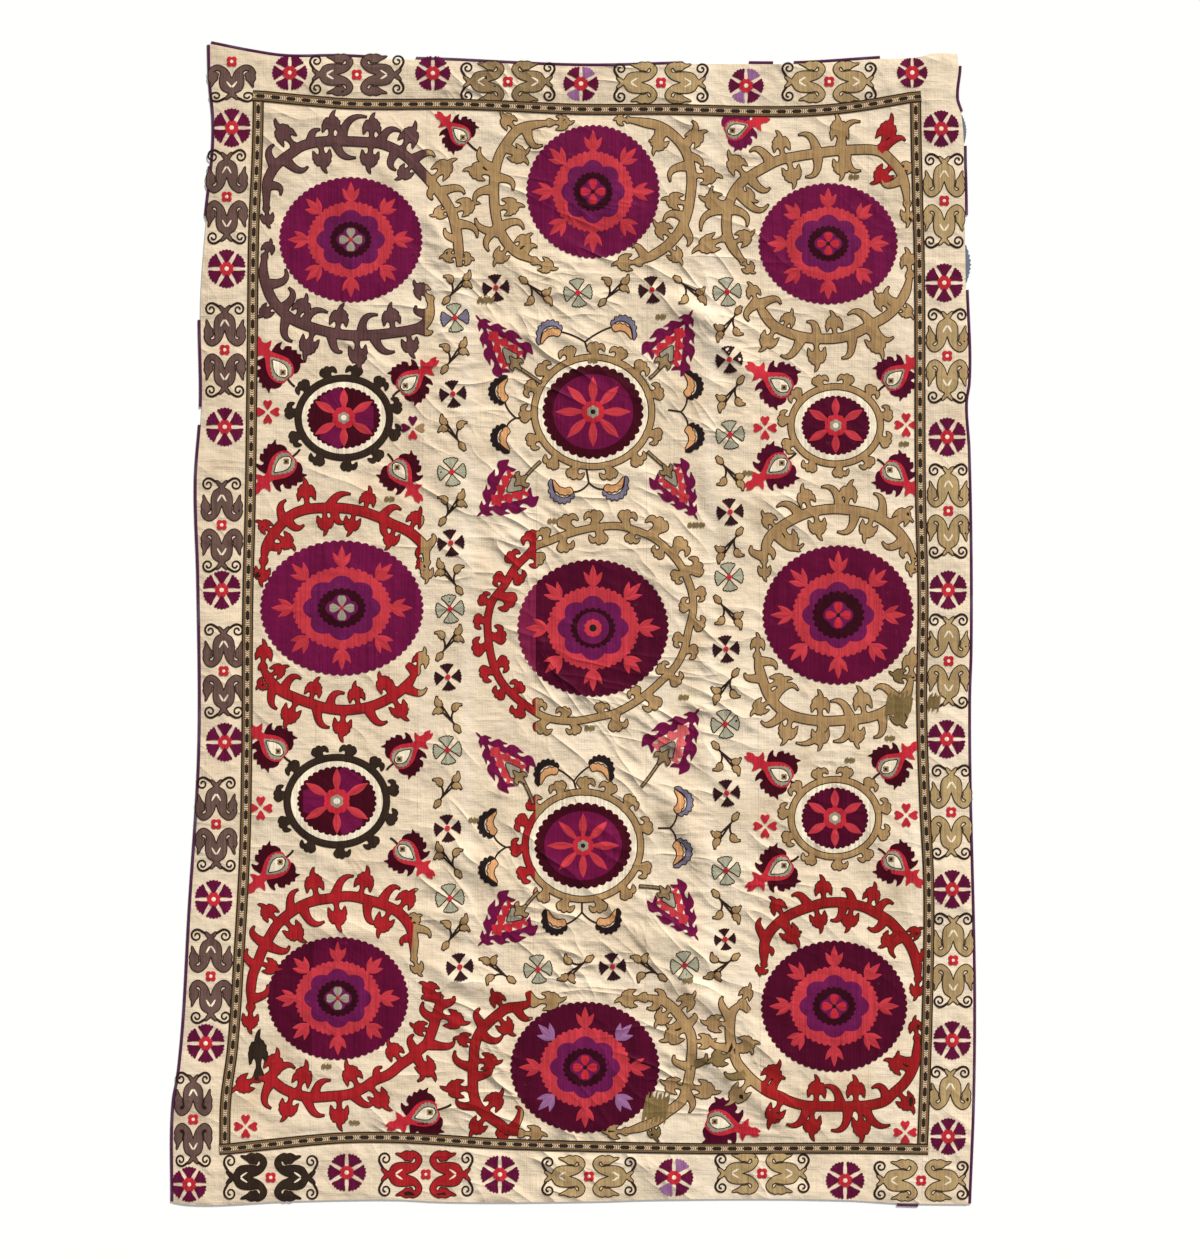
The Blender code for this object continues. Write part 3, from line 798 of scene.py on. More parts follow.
@dataclass
class LargeMedallion:
    """A scalloped oval of one dye, with a red ring, eight red tulips and a flower in its middle."""
    across: float
    down: float
    half_w: float
    half_h: float
    dye: Dye = Dye.PURPLE
    left_dye: Optional[Dye] = None
    seam: int = 0
    slant_tulip: Dye = Dye.CORAL
    heart: Dye = Dye.RED
    scallop_count: int = 62
    ring_share: float = 0.61
    lobe_share: float = 0.475
    dark_share: float = 0.30
    heart_share: float = 0.20
    tulip_share: float = 0.325

    def stitch(self, silk: Silk) -> None:
        """Lays the oval, then each smaller ring over it, the tulips and the middle flower."""
        oval = (self.across, self.down)
        silk.halves(self.left_dye, self.seam)
        silk.disc(*oval, self.half_w, self.half_h, self.dye, 1, scallops(self.scallop_count, 0.028),
                  rings=11, points=self.scallop_count * 4)
        silk.halves()
        for number in range(8):
            self._tulip(silk, number * 45.0)
        for level, (share, dye, lobes, depth, rings, points, turn) in enumerate((
                (self.ring_share, Dye.CORAL, 44, 0.05, 6, 176, 0.0),
                (self.lobe_share, Dye.VIOLET, 8, 0.16, 5, 96, 22.5),
                (self.dark_share, Dye.NEAR_BLACK, 22, 0.10, 3, 88, 0.0)), start=2):
            silk.disc(*oval, self.half_w * share, self.half_h * share, dye, level,
                      scallops(lobes, depth), rings, points, turn)
        self._middle(silk)

    def _tulip(self, silk: Silk, angle: float) -> None:
        """One three-pointed flower whose narrow root stands on the red ring.

        Args:
            silk: where it is laid.
            angle: its direction from the middle, in degrees.
        """
        turn = math.radians(angle)
        share = self.ring_share - 0.02
        root = (self.across + self.half_w * share * math.cos(turn),
                self.down - self.half_h * share * math.sin(turn))
        dye = self.slant_tulip if angle % 90 else Dye.CORAL
        length = self.tulip_share * min(self.half_w, self.half_h)
        for lean, reach, wide in ((0, 1.0, 1.05), (31, 0.80, 0.85), (-31, 0.80, 0.85)):
            spot = Spot(*root, angle + lean)
            widths = [value * wide for value in (1.0, 2.2, 3.6, 3.4, 2.0, 0.3)]
            silk.petal(spot, 0, length * reach, widths, dye, 2, steps=6)

    def _middle(self, silk: Silk) -> None:
        """The quatrefoil on the dark ring: a lobed ground, four petals and a dot."""
        oval = (self.across, self.down)
        size = (self.half_w * self.heart_share, self.half_h * self.heart_share)
        silk.disc(*oval, *size, Dye.VIOLET, 5, scallops(4, 0.22), rings=3, points=48, turn=45)
        reach = min(size)
        for number in range(4):
            silk.petal(Spot(*oval, number * 90), 1.5, reach * 0.9, (0.8, 2.4, 4.2, 4.6, 2.8),
                       self.heart, 6, steps=5)
        silk.disc(*oval, 2.2, 2.2, Dye.BLACK if self.heart is Dye.RED else Dye.RED, 7, points=12)


@dataclass
class CentreMedallion(LargeMedallion):
    """The middle medallion, whose own middle is plain rings."""

    def _middle(self, silk: Silk) -> None:
        """A violet disc, a red disc and a black dot on the dark ring."""
        for size, dye, level, rule in ((16, Dye.VIOLET, 5, None), (9, Dye.CORAL, 6, scallops(10, .1)),
                                       (3.6, Dye.BLACK, 7, None)):
            silk.disc(self.across, self.down, size, size, dye, level, rule, rings=3, points=40)


@dataclass
class MediumMedallion:
    """A scalloped disc with red petals inside a band of curled knobs."""
    across: float
    down: float
    half_w: float
    half_h: float
    band_w: float
    band_h: float
    band: Dye = Dye.TAN
    disc: Dye = Dye.MAROON
    inner: Optional[Dye] = None
    petals: int = 6
    knobs: Sequence[float] = (14, 46, 78, 108, 140, 172, 205, 240, 275, 308, 342)
    knob_size: float = 6.0
    sectors: Sequence[float] = ()
    band_left: Optional[Dye] = None
    seam: int = 2
    band_half: float = 2.7
    INNER_SHARE = 0.79         # of the inner disc, by the outer one
    SECTOR_REACH = 0.96
    PETAL_REACH = 0.93
    PETAL_START = 90.0         # degrees
    KNOB_SUNK = 1.5            # pixels by which a knob's root lies inside the band's axis

    def stitch(self, silk: Silk) -> None:
        """Lays the pale ground, the band and its knobs, the disc, its petals and middle."""
        oval = (self.across, self.down)
        silk.disc(*oval, self.band_w, self.band_h, Dye.CREAM, 0, rings=6, points=80)
        silk.halves(self.band_left, self.seam)
        self._band(silk)
        silk.halves()
        silk.disc(*oval, self.half_w, self.half_h, self.disc, 1, scallops(36, 0.05), rings=6,
                  points=144)
        reach_w, reach_h = self.half_w, self.half_h
        if self.inner:
            reach_w, reach_h = self.half_w * self.INNER_SHARE, self.half_h * self.INNER_SHARE
            silk.disc(*oval, reach_w, reach_h, self.inner, 2, rings=5, points=72)
        for angle in self.sectors:
            silk.petal(Spot(*oval, angle), 8, reach_h * self.SECTOR_REACH,
                       (3, 6, 9, 12, 13, 11), Dye.PURPLE, 2)
        middle = self.half_h * (0.245 if self.inner else 0.38)
        lens = tuple(max(0.92, self.half_h / 47) * value for value in (1.4, 3.0, 4.6, 4.4, 2.6, 0.3))
        for number in range(self.petals):
            angle = self.PETAL_START + number * 360.0 / self.petals
            turn = math.radians(angle)
            reach = math.hypot(reach_w * math.cos(turn), reach_h * math.sin(turn))
            reach *= self.PETAL_REACH
            silk.petal(Spot(*oval, angle), middle * 0.86, reach, lens, Dye.CORAL, 3)
        silk.disc(*oval, middle, middle, Dye.RED, 4, scallops(10, 0.10), rings=3, points=60)
        silk.disc(*oval, middle * 0.54, middle * 0.54, Dye.GREY, 5, scallops(6, 0.16), points=36)
        dot = Dye.BLACK if self.inner else Dye.CREAM
        silk.disc(*oval, middle * 0.24, middle * 0.24, dot, 6, points=14)

    def _band(self, silk: Silk) -> None:
        """The oval band and the knobs on its outer side, each a lobed head with a thin hook."""
        turn = np.linspace(0, 2 * np.pi, 80, endpoint=False)
        wide, high = self.band_w + self.band_half, self.band_h + self.band_half
        line = np.stack([self.across + wide * np.cos(turn), self.down - high * np.sin(turn)], axis=1)
        silk.edged(line, self.band_half, self.band, level=2, closed=True)
        for number, angle in enumerate(self.knobs):
            turn = math.radians(angle)
            root = (self.across + (wide - self.KNOB_SUNK) * math.cos(turn),
                    self.down - (high - self.KNOB_SUNK) * math.sin(turn))
            out = math.degrees(math.atan2(math.sin(turn) / high, math.cos(turn) / wide))
            knob(silk, Spot(*root, out, mirror=number % 2 == 1), self.knob_size, self.band)


KNOB = ("-1,4.8 3.4,3.6 6,2.3 8.8,2.6 10,4.6 9.2,6.8 7.4,8.8 11,8.8 13.8,7 14.2,4.4 13.2,3.2 15.4,1.4 "
        "15.6,-1 14.2,-2.6 14.8,-4.6 13.2,-6.6 10.2,-8 7.4,-6.2 5.4,-4.2 3.4,-3.4 -1,-4.2")
LEAF = ("-1.5,3.6 3,3 5.4,1.5 8.6,1.5 10.8,2.6 11,4 9.6,5.4 7.2,6.8 10.8,7.2 13.8,7.5 15,6.8 16.8,6.7 "
        "18.6,5.4 19.6,4.8 19.9,2.6 22.2,1.8 24.8,0.6 27.2,-1.8 23.2,-1 21,-2.1 20.4,-3.8 18.8,-4.7 "
        "17.6,-6.2 15.2,-6 13.6,-7.2 10.8,-7 7.6,-6.6 9.8,-5.2 11,-3.8 10.6,-2.4 8.6,-1.5 5.4,-1.5 3,-3 "
        "-1.5,-3.6")
KNOB_HALF = 6.3          # half the charted knob's width
LEAF_LONG = 26.5         # the charted leaf's length
LEAF_FULL = 24.5         # length of a leaf that is as wide as charted
LEAF_WIDTHS = (0.86, 1.24)
PETAL = ("0.28,0.05 0.60,0.28 0.84,0.50 0.93,0.42 0.91,0.31 1.00,0.25 0.96,0.13 1.02,0.0 0.96,-0.13 "
         "1.00,-0.25 0.91,-0.31 0.93,-0.42 0.84,-0.50 0.60,-0.28 0.28,-0.05")


def mirrored(text: str) -> str:
    """A chart of one half of a shape, with its other half added below v = 0."""
    half = [pair.split(",") for pair in text.split()]
    other = [(u, f"{-float(v):g}") for u, v in reversed(half) if float(v) != 0]
    return " ".join(f"{u},{v}" for u, v in half + other)


def knob(silk: Silk, spot: Spot, size: float, dye: Dye) -> None:
    """A small cloud-shaped head on a band, with a hook curling back from one side.

    Args:
        silk: where it is laid.
        spot: its root on the band and its direction outwards.
        size: about half the head's width in pixels.
        dye: its colour.
    """
    grown = Spot(*spot.centre, spot.angle, spot.side @ Spot(0, 0, spot.angle).side < 0, size / KNOB_HALF)
    silk.shape(grown.line(KNOB), dye, 2, Dye.OUTLINE, per=2)


@dataclass
class Vine:
    """A stem with trefoil leaves and hooks. The stem and the tips of its sprouts are charted in
    pixels: L is a leaf, K a knob, and < or > a hook rooted after or before its tip's foot."""
    name: str
    dye: Dye
    path: str
    sprouts: str
    left_dye: Optional[Dye] = None
    seam: int = 0
    closed: bool = False
    half: float = 4.3
    specials: dict = field(default_factory=dict)

    def stitch(self, silk: Silk) -> None:
        """Lays the stem, then each sprout on its nearest place of the stem."""
        silk.halves(self.left_dye, self.seam)
        points = chart(self.path)
        line = curve(points, 4, self.closed)
        half = np.full(len(line), self.half)
        if not self.closed:
            ends = np.minimum(np.arange(len(line)), np.arange(len(line))[::-1])
            half *= 0.55 + 0.45 * smooth(ends / 5)
        silk.edged(line, half, self.dye, level=2, closed=self.closed)
        for number, sprout in enumerate(self.sprouts.split()):
            self._sprout(silk, line, sprout, number)
        silk.halves()

    def _sprout(self, silk: Silk, line: np.ndarray, sprout: str, number: int) -> None:
        """One leaf, knob or hook.

        Args:
            silk: where it is laid.
            line: the stem's places.
            sprout: its mark and the place of its tip.
            number: its place in the chart, which varies its bend.
        """
        tip = chart(sprout[1:])[0]
        gaps = np.linalg.norm(line - tip, axis=1)
        foot = int(gaps.argmin())
        reach = gaps[foot]
        steps = np.linalg.norm(np.diff(line, axis=0), axis=1).mean()
        dye = self.specials.get(sprout, self.dye)
        kept = silk.left_dye
        if sprout in self.specials:
            silk.left_dye = None
        if sprout[0] == "L":
            leaf(silk, line[foot], tip, dye, 1 if number % 2 else -1)
        elif sprout[0] == "K":
            out = math.degrees(math.atan2(line[foot][1] - tip[1], tip[0] - line[foot][0]))
            knob(silk, Spot(*line[foot], out, mirror=number % 2 == 1), max(5.5, reach * 0.42), dye)
        else:
            lead = int(round((3 + reach * 0.45) / steps)) * (1 if sprout[0] == "<" else -1)
            root = line[(foot + lead) % len(line)] if self.closed else line[
                int(np.clip(foot + lead, 0, len(line) - 1))]
            hook(silk, root, line[foot], tip, dye)
        silk.left_dye = kept


def leaf(silk: Silk, root: np.ndarray, tip: np.ndarray, dye: Dye, hand: int) -> None:
    """A trefoil leaf: a short stem, a body that narrows to a bent tip, and a barb that curls back
    at each side.

    Args:
        silk: where it is laid.
        root: its foot on the stem.
        tip: its tip.
        dye: its colour.
        hand: the side to which the tip bends, 1 for right or -1 for left.
    """
    run = tip - root
    length = float(np.hypot(*run))
    angle = math.degrees(math.atan2(-run[1], run[0]))
    spot = Spot(*root, angle, hand < 0)
    spot.along *= length / LEAF_LONG
    spot.side *= float(np.clip(length / LEAF_FULL, *LEAF_WIDTHS))
    silk.shape(spot.line(LEAF), dye, 2, Dye.OUTLINE, per=2)


def hook(silk: Silk, root: np.ndarray, foot: np.ndarray, tip: np.ndarray, dye: Dye) -> None:
    """A hook that leaves the stem square and bends over to its tip.

    Args:
        silk: where it is laid.
        root: its place on the stem.
        foot: the tip's nearest place on the stem.
        tip: its tip.
        dye: its colour.
    """
    away = tip - foot
    along = foot - root
    turned = tip + along * 0.08
    bend = root + away * 1.14 + along * 0.06
    line = bent(root, bend, turned, 9)
    silk.edged(line, profile(9, 6.0, 3.9, 3.2, 2.8, 2.2, 1.4, 0.3), dye, level=2)


@dataclass
class PearPalmette:
    """A pear-shaped eye in a red outline between two serrated purple halves, its tip forked."""
    across: float
    down: float
    angle: float
    size: float = 1.0
    dye: Dye = Dye.MAROON
    stem: float = 8.0
    HALF = ("19,3.5 21.6,8 22.4,12.4 20.4,16.6 17.6,12.6 14,12.6 15,16.6 10.8,20.4 8.2,18.6 5,21.8 2,20.2 "
            "-1.6,22.4 -4.4,20.2 -10.4,21 -7.8,17.2 -10.8,14.4 -12.8,9.6 -10.6,6 -4,4 8,3")
    RED = mirrored("-11.5,0 -12,6.2 -7,11.2 0,13 7,11.8 13,8.6 18.6,5.2 23,4.6 25,8 28.6,11.8 29.4,8.6 "
                   "30.4,5.2 34,4 38,5 43.6,2.4 41,0")

    def stitch(self, silk: Silk) -> None:
        """Lays the serrated halves, the red pear, the grey, the eye, its flower and the stem."""
        for side in (False, True):
            spot = Spot(self.across, self.down, self.angle, side, self.size)
            spot.side *= 1.14
            silk.shape(spot.line(self.HALF), self.dye, 1)
        spot = Spot(self.across, self.down, self.angle, scale=self.size)
        silk.shape(spot.line(self.RED), Dye.RED, 2)
        grey = bent(spot.at(-10.5, 0), spot.at(0, 0), spot.at(16, 0), 14)
        teeth = 1.0 + 0.16 * (np.arange(15) % 2)
        silk.strip(grey, profile(14, 4.5, 9.0, 9.9, 8.2, 5.0, 0.8) * self.size * teeth, Dye.GREY,
                   level=4)
        eye = bent(spot.at(-8.5, 0), spot.at(0, 0), spot.at(12, 0), 10)
        silk.edged(eye, profile(10, 1.6, 5.4, 6.0, 4.2, 0.4) * self.size, Dye.CREAM, level=6)
        silk.disc(*spot.at(-3.5, 0), 3.6, 3.6, Dye.BROWN_TAN, 7, scallops(4, 0.3), points=20)
        silk.disc(*spot.at(-3.5, 0), 1.5, 1.5, Dye.OUTLINE, 8, points=10)
        if self.stem:
            root = spot.at(-14 - self.stem, 0)
            silk.strip(bent(root, spot.at(-12 - self.stem / 2, 1.5), spot.at(-9, 0), 5), 1.1,
                       Dye.OUTLINE, level=1)


@dataclass
class HookedPalmette:
    """A purple arrowhead of hooked lobes round a jagged red one, with a bud on a stem at its
    open base. Its chart is stretched from LONG and WIDE to its own tip and corners."""
    tip: tuple
    corners: tuple
    stem_end: tuple
    red: Dye = Dye.RED
    bud: Dye = Dye.GREY
    LONG = 65.0
    WIDE = 42.0
    OUTER = ("3,0.3 6.6,1.1 9.4,1.2 11.2,4.6 13.6,5.8 18,7.4 16.4,3.8 20,4 21.6,8.6 24,12 28,12.8 33.4,15 "
             "30.4,11 34.4,11 35,15.2 38,18.4 42,19.6 46,19.8 51,20.2 46,15.8 50.6,15.4 53.6,18 55,21.4 "
             "59,23.2 63,22.2 69.4,18.8 64.2,16.2 66,12.8 68.6,9.2 63.4,9.8 60,13.4 54.5,12.6 49,10.8 "
             "44.5,9.2 39.5,6.6 32,4 24.5,2")
    INNER = ("24,0.3 26.5,2.4 29.5,6 33,4.2 35.6,3 38,5.4 39.6,8.6 43.4,8.4 46.2,6.4 48.4,9 51.4,12.4 "
             "55,11.4 57,9.6 60,13.4 62.6,12 61.4,8.6 64,6 59.6,5.8 56.4,7 53.6,3.6 50,2.2 47.6,3.8 44,1.2")

    def stitch(self, silk: Silk) -> None:
        """Lays the purple arrowhead, the red one inside it, the bud, its calyx and its stem."""
        tip = np.array(self.tip, float)
        corners = np.array(self.corners, float)
        base = corners.mean(axis=0)
        run = base - tip
        length = float(np.hypot(*run))
        spot = Spot(*tip, math.degrees(math.atan2(-run[1], run[0])))
        spot.along *= length / self.LONG
        spot.side *= float(np.hypot(*(corners[0] - corners[1]))) / self.WIDE
        silk.shape(spot.line(mirrored(self.OUTER + " 20,0")), Dye.PURPLE, 1)
        silk.shape(spot.line(mirrored(self.INNER + " 39,0")), self.red, 2)
        silk.shape(spot.line(mirrored("46,0 49,2.2 52.5,3.6 56,4.8 60,6 63,0")), self.bud, 4, Dye.OUTLINE)
        silk.shape(spot.line(mirrored("56,0 59,1.4 61.6,2.4 63,4.4 65,7 69.4,6.4 67,4.2 68,2 71,1.3 74,0")),
                   Dye.BROWN_TAN, 6, Dye.OUTLINE)
        stem = bent(spot.at(71, 0), (spot.at(74, 1.5) + self.stem_end) / 2, self.stem_end, 5)
        silk.edged(stem, profile(5, 1.0, 0.9, 1.0), Dye.BROWN_TAN, level=4)


@dataclass
class Crescent:
    """A scalloped crescent round an orange half-bud."""
    across: float
    down: float
    angle: float
    dye: Dye = Dye.SLATE
    mirror: bool = False
    SCALE = 0.88
    BUD = ("11,-3 8.5,0.4 5,0.6 3,2.4 -0.5,1.4 -3,2.2 -6,-0.2 -8.4,-0.6 -11,-5 -13.6,-12.6 -8.4,-8.4 -4,-5.6 "
           "2,-5.4 7,-7.4")
    ARC = ("12,-1.4 12.6,3.6 9.4,4.6 9.6,8.4 5.8,8.6 4.4,11.6 1,10.6 -1.6,12.4 -4.6,10.2 -8,10.8 -9.6,7.6 "
           "-13,7 -13.4,3.2 -16.4,1.2 -15.6,-3.2 -18,-7.4 -16,-13 -14.2,-8.4 -12.6,-3 -9,2.4 -4,5.2 2,5.8 "
           "7.4,3.6")

    def stitch(self, silk: Silk) -> None:
        """Lays the bud, bent over to its tip, and the crescent outside it."""
        spot = Spot(self.across, self.down, self.angle, self.mirror, self.SCALE)
        silk.shape(spot.line(self.BUD), Dye.ORANGE, 2, Dye.OUTLINE)
        silk.shape(spot.line(self.ARC), self.dye, 2, Dye.OUTLINE)


@dataclass
class CrescentPair:
    """Two crescents on a forked stem."""
    first: Crescent
    second: Crescent
    root: tuple
    fork: tuple

    def stitch(self, silk: Silk) -> None:
        """Lays the stem, its two arms and the crescents."""
        root, fork = np.array(self.root, float), np.array(self.fork, float)
        silk.strip(bent(root, (root + fork) / 2, fork, 3), 0.9, Dye.OUTLINE, level=1)
        for crescent in (self.first, self.second):
            end = Spot(crescent.across, crescent.down, crescent.angle, crescent.mirror).at(9.6, -2.6)
            bend = fork + (fork - root) * 0.3 + (end - fork) * 0.45
            silk.strip(bent(fork, bend, end, 6), 0.85, Dye.OUTLINE, level=1)
            crescent.stitch(silk)


@dataclass
class CrossFlower:
    """Four fan-shaped petals with notched ends round a red dot."""
    across: float
    down: float
    dark: bool = True
    side_dye: Optional[Dye] = None
    size: float = 1.0
    REACH = 13.7
    TURN = 6

    def stitch(self, silk: Silk) -> None:
        """Lays the petals and the dot."""
        for number in range(4):
            dye = Dye.PETAL_DARK if self.dark else Dye.GREY_GREEN
            if self.side_dye and number % 2 == 0:
                dye = self.side_dye
            spot = Spot(self.across, self.down, number * 90 + self.TURN, scale=self.REACH * self.size)
            silk.shape(spot.line(PETAL), dye, 2, None if self.dark else Dye.OUTLINE, spot.angle, 2)
        silk.disc(self.across, self.down, 2.7, 2.7, Dye.RED, 4, points=16)


@dataclass
class Sprig:
    """Tan comma-shaped buds on a stem with two branches, an oval bud at its foot."""
    across: float
    down: float
    angle: float = 55.0
    mirror: bool = False
    SCALE = 0.93
    BUDS = (("-13,0", "12,0.4", "12,0.4", "18,-3", "23,1.5"), ("-8,0", "-1,3", "0,8", "5.4,13", "0.6,18.5"),
            ("-9,0", "-1,-1.6", "6.4,-3", "12.6,-6", "10,-12"))

    def stitch(self, silk: Silk) -> None:
        """Lays the stem with a bud at its end, two side stalks with a bud each, and the foot's bud."""
        spot = Spot(self.across, self.down, self.angle, self.mirror, self.SCALE)
        for stops in self.BUDS:
            start, turn, foot, bend, tip = (spot.line(stop)[0] for stop in stops)
            silk.strip(bent(start, turn, foot, 4), 0.95, Dye.OUTLINE, level=1)
            silk.edged(bent(foot, bend, tip, 8), profile(8, 1.0, 2.7, 3.4, 3.0, 2.0, 1.0, 0.3),
                       Dye.TAN, level=2)
        silk.edged(bent(spot.at(-13, 0), spot.at(-17, 0), spot.at(-22.5, 0), 6),
                   profile(6, 0.9, 2.4, 2.9, 2.2, 0.8), Dye.TAN, level=2)


@dataclass
class HeartFlower:
    """Four small red hearts in a cross."""
    across: float
    down: float
    dyes: Sequence[Dye] = (Dye.RED, Dye.RED, Dye.RED, Dye.RED)

    def stitch(self, silk: Silk) -> None:
        """Lays each heart with its point inwards."""
        for number, dye in enumerate(self.dyes):
            spot = Spot(self.across, self.down, number * 90)
            silk.shape(spot.line(mirrored("2,0 6,3 9.4,4.6 12,2.6 10.4,0")), dye, 2, per=2)


@dataclass
class Rosette:
    """Six wedge petals with notched ends round a small red flower."""
    across: float
    down: float
    size: float = 1.0
    upright: bool = True
    second: Dye = Dye.ROSETTE
    REACH = 19.2
    PETAL_WIDE = 0.80

    def stitch(self, silk: Silk) -> None:
        """Lays the petals, the red middle and its pale eye."""
        for number in range(6):
            angle = number * 60 + (90 if self.upright else 0)
            dye = self.second if number % 3 == 1 else Dye.ROSETTE
            spot = Spot(self.across, self.down, angle, scale=self.REACH * self.size)
            spot.side *= self.PETAL_WIDE
            silk.shape(spot.line(PETAL), dye, 1, per=2)
        silk.disc(self.across, self.down, 7.4, 7.4, Dye.RED, 2, scallops(8, 0.18), rings=3, points=40)
        silk.disc(self.across, self.down, 2.2, 2.2, Dye.CREAM, 3, points=12)


@dataclass
class LeafPair:
    """A border unit: at each side of a small red flower two thick arms, joined at a knot, curl
    outwards to leaf heads, and two spiral tendrils leave the knot."""
    across: float
    down: float
    upright: bool
    dye: Dye = Dye.DUSKY
    spread: float = 0.95
    reach: float = 1.0
    halves: Sequence[int] = (1, -1)
    flower: bool = True
    SPIRAL_POINTS = 26
    SPIRAL_START = -40         # degrees
    SPIRAL_SWEEP = 500
    SPIRAL_RADII = (6.6, 1.2)
    SPIRAL_MIDDLE = (40.5, 14.4)
    ARMS = mirrored("40.6,0 42.4,2.4 44.2,5.2 41,4.6 37.6,2.2 35.8,4.4 33.4,8 29,10.2 23,10.8 17,10.4 "
                    "13.2,9.8 10.4,11.4 9.8,14.2 11.6,15.8 13.4,14.2 14.4,12.4 17.6,13 20.6,13.2 22.8,15.2 "
                    "25.6,16.8 30,19.4 25,19.2 22.4,20.4 19.4,21.4 16,20.8 13,21.4 8.4,19.6 5.4,16.6 "
                    "4.4,12.4 6.4,8.2 9.6,4.8 13.4,2.6 17.6,1.2 20,0")

    def stitch(self, silk: Silk) -> None:
        """Lays both halves, then the flower."""
        for half in self.halves:
            self._half(silk, (90 if self.upright else 0) + (180 if half < 0 else 0))
        if self.flower:
            silk.disc(self.across, self.down, 6, 6, Dye.RED, 2, scallops(4, 0.3), rings=3, points=32)
            silk.disc(self.across, self.down, 1.7, 1.7, Dye.CREAM, 3, points=12)

    def _half(self, silk: Silk, angle: float) -> None:
        """One half, its direction pointing from the flower to the knot.

        Args:
            silk: where it is laid.
            angle: direction of the half in degrees.
        """
        spot = Spot(self.across, self.down, angle)
        spot.along *= self.reach
        spot.side *= self.spread
        silk.shape(spot.line(self.ARMS), self.dye, 2, Dye.OUTLINE)
        for mirror in (1, -1):
            silk.strip(bent(spot.at(23.5, mirror * 4.6), spot.at(28, mirror * 2.2),
                            spot.at(30, mirror * 0.4), 3), profile(3, 0.5, 1.1, 0.8), Dye.CREAM,
                       level=3)
            self._tendril(silk, spot, mirror)

    def _tendril(self, silk: Silk, spot: Spot, hand: int) -> None:
        """A spiral line beside the knot: its radius shrinks evenly with the angle turned.

        Args:
            silk: where it is laid.
            spot: the half's place and direction.
            hand: 1 for the left side or -1 for the right.
        """
        turn = np.linspace(0, 1, self.SPIRAL_POINTS)
        angle = np.radians(self.SPIRAL_START + self.SPIRAL_SWEEP * turn)
        radius = self.SPIRAL_RADII[0] * (1 - turn) + self.SPIRAL_RADII[1] * turn
        u = self.SPIRAL_MIDDLE[0] + np.cos(angle) * radius
        v = self.SPIRAL_MIDDLE[1] + np.sin(angle) * radius
        spiral = spot.centre + u[:, None] * spot.along + hand * v[:, None] * spot.side
        root = spot.at(42, hand * 4.4)
        line = np.concatenate([[root, (root + spiral[0]) / 2], spiral])
        silk.strip(line, profile(len(line) - 1, 1.3, 1.0, 0.85, 0.8, 1.0), Dye.OUTLINE, level=1)


@dataclass
class Repair:
    """A small hatched darn in dull olive thread."""
    across: float
    down: float
    angle: float = 40.0
    half_w: float = 5.0
    half_h: float = 3.0
    dye: Dye = Dye.OLIVE

    def stitch(self, silk: Silk) -> None:
        """Lays close slanting stitches of uneven length."""
        count = max(3, int(self.half_w * 1.3))
        for number in range(count):
            spot = Spot(self.across + (number - (count - 1) / 2) * 2 * self.half_w / count,
                        self.down, self.angle + 50)
            reach = self.half_h * (0.75 + 0.25 * math.sin(number * 2.4))
            silk.strip(bent(spot.at(-reach, 0), spot.at(0, 0.4), spot.at(reach, 0), 3),
                       profile(3, 0.6, 1.1, 0.6), self.dye, level=4)


LARGE_MEDALLIONS = (
    LargeMedallion(351, 240, 72, 63, Dye.PURPLE, heart=Dye.GREY),
    LargeMedallion(593, 192, 67, 67, Dye.PURPLE),
    LargeMedallion(828, 244, 70, 61, Dye.PURPLE),
    LargeMedallion(342, 608, 82, 68, Dye.PURPLE, heart=Dye.GREY),
    CentreMedallion(593, 628, 76, 69, Dye.DARK_PURPLE, Dye.LIGHT_PURPLE, 2),
    LargeMedallion(838, 615, 76, 70, Dye.PLUM, dark_share=0.35),
    LargeMedallion(338, 998, 71, 62, Dye.PLUM, Dye.DARK_PURPLE, 0, heart=Dye.GREY),
    LargeMedallion(585, 1067, 75, 66, Dye.DARK_PURPLE, slant_tulip=Dye.LILAC),
    LargeMedallion(834, 1006, 73.5, 66, Dye.DARK_PURPLE))

MANY_KNOBS = (18, 44, 67, 88, 112, 138, 158, 182, 207, 232, 254, 284, 312, 338)
MEDIUM_MEDALLIONS = (
    MediumMedallion(344, 418, 37, 31, 43, 37, Dye.DARK_OLIVE, sectors=(0, 120, 240)),
    MediumMedallion(593, 412, 51, 47.5, 56, 52, Dye.TAN, Dye.MAROON, Dye.PURPLE, 8, MANY_KNOBS, 6.6),
    MediumMedallion(835.5, 425.5, 34.5, 30, 42, 36, Dye.TAN, Dye.DARK_PURPLE),
    MediumMedallion(337, 801, 40, 35, 47, 41, Dye.DARK_OLIVE, sectors=(60, 180, 300)),
    MediumMedallion(583, 845.5, 49, 43.5, 55, 51, Dye.TAN, Dye.MAROON, Dye.PURPLE, 8, MANY_KNOBS, 6.6,
                    band_left=Dye.VINE_RED),
    MediumMedallion(834.7, 818, 33.7, 31, 41, 36, Dye.TAN, Dye.DARK_PURPLE))

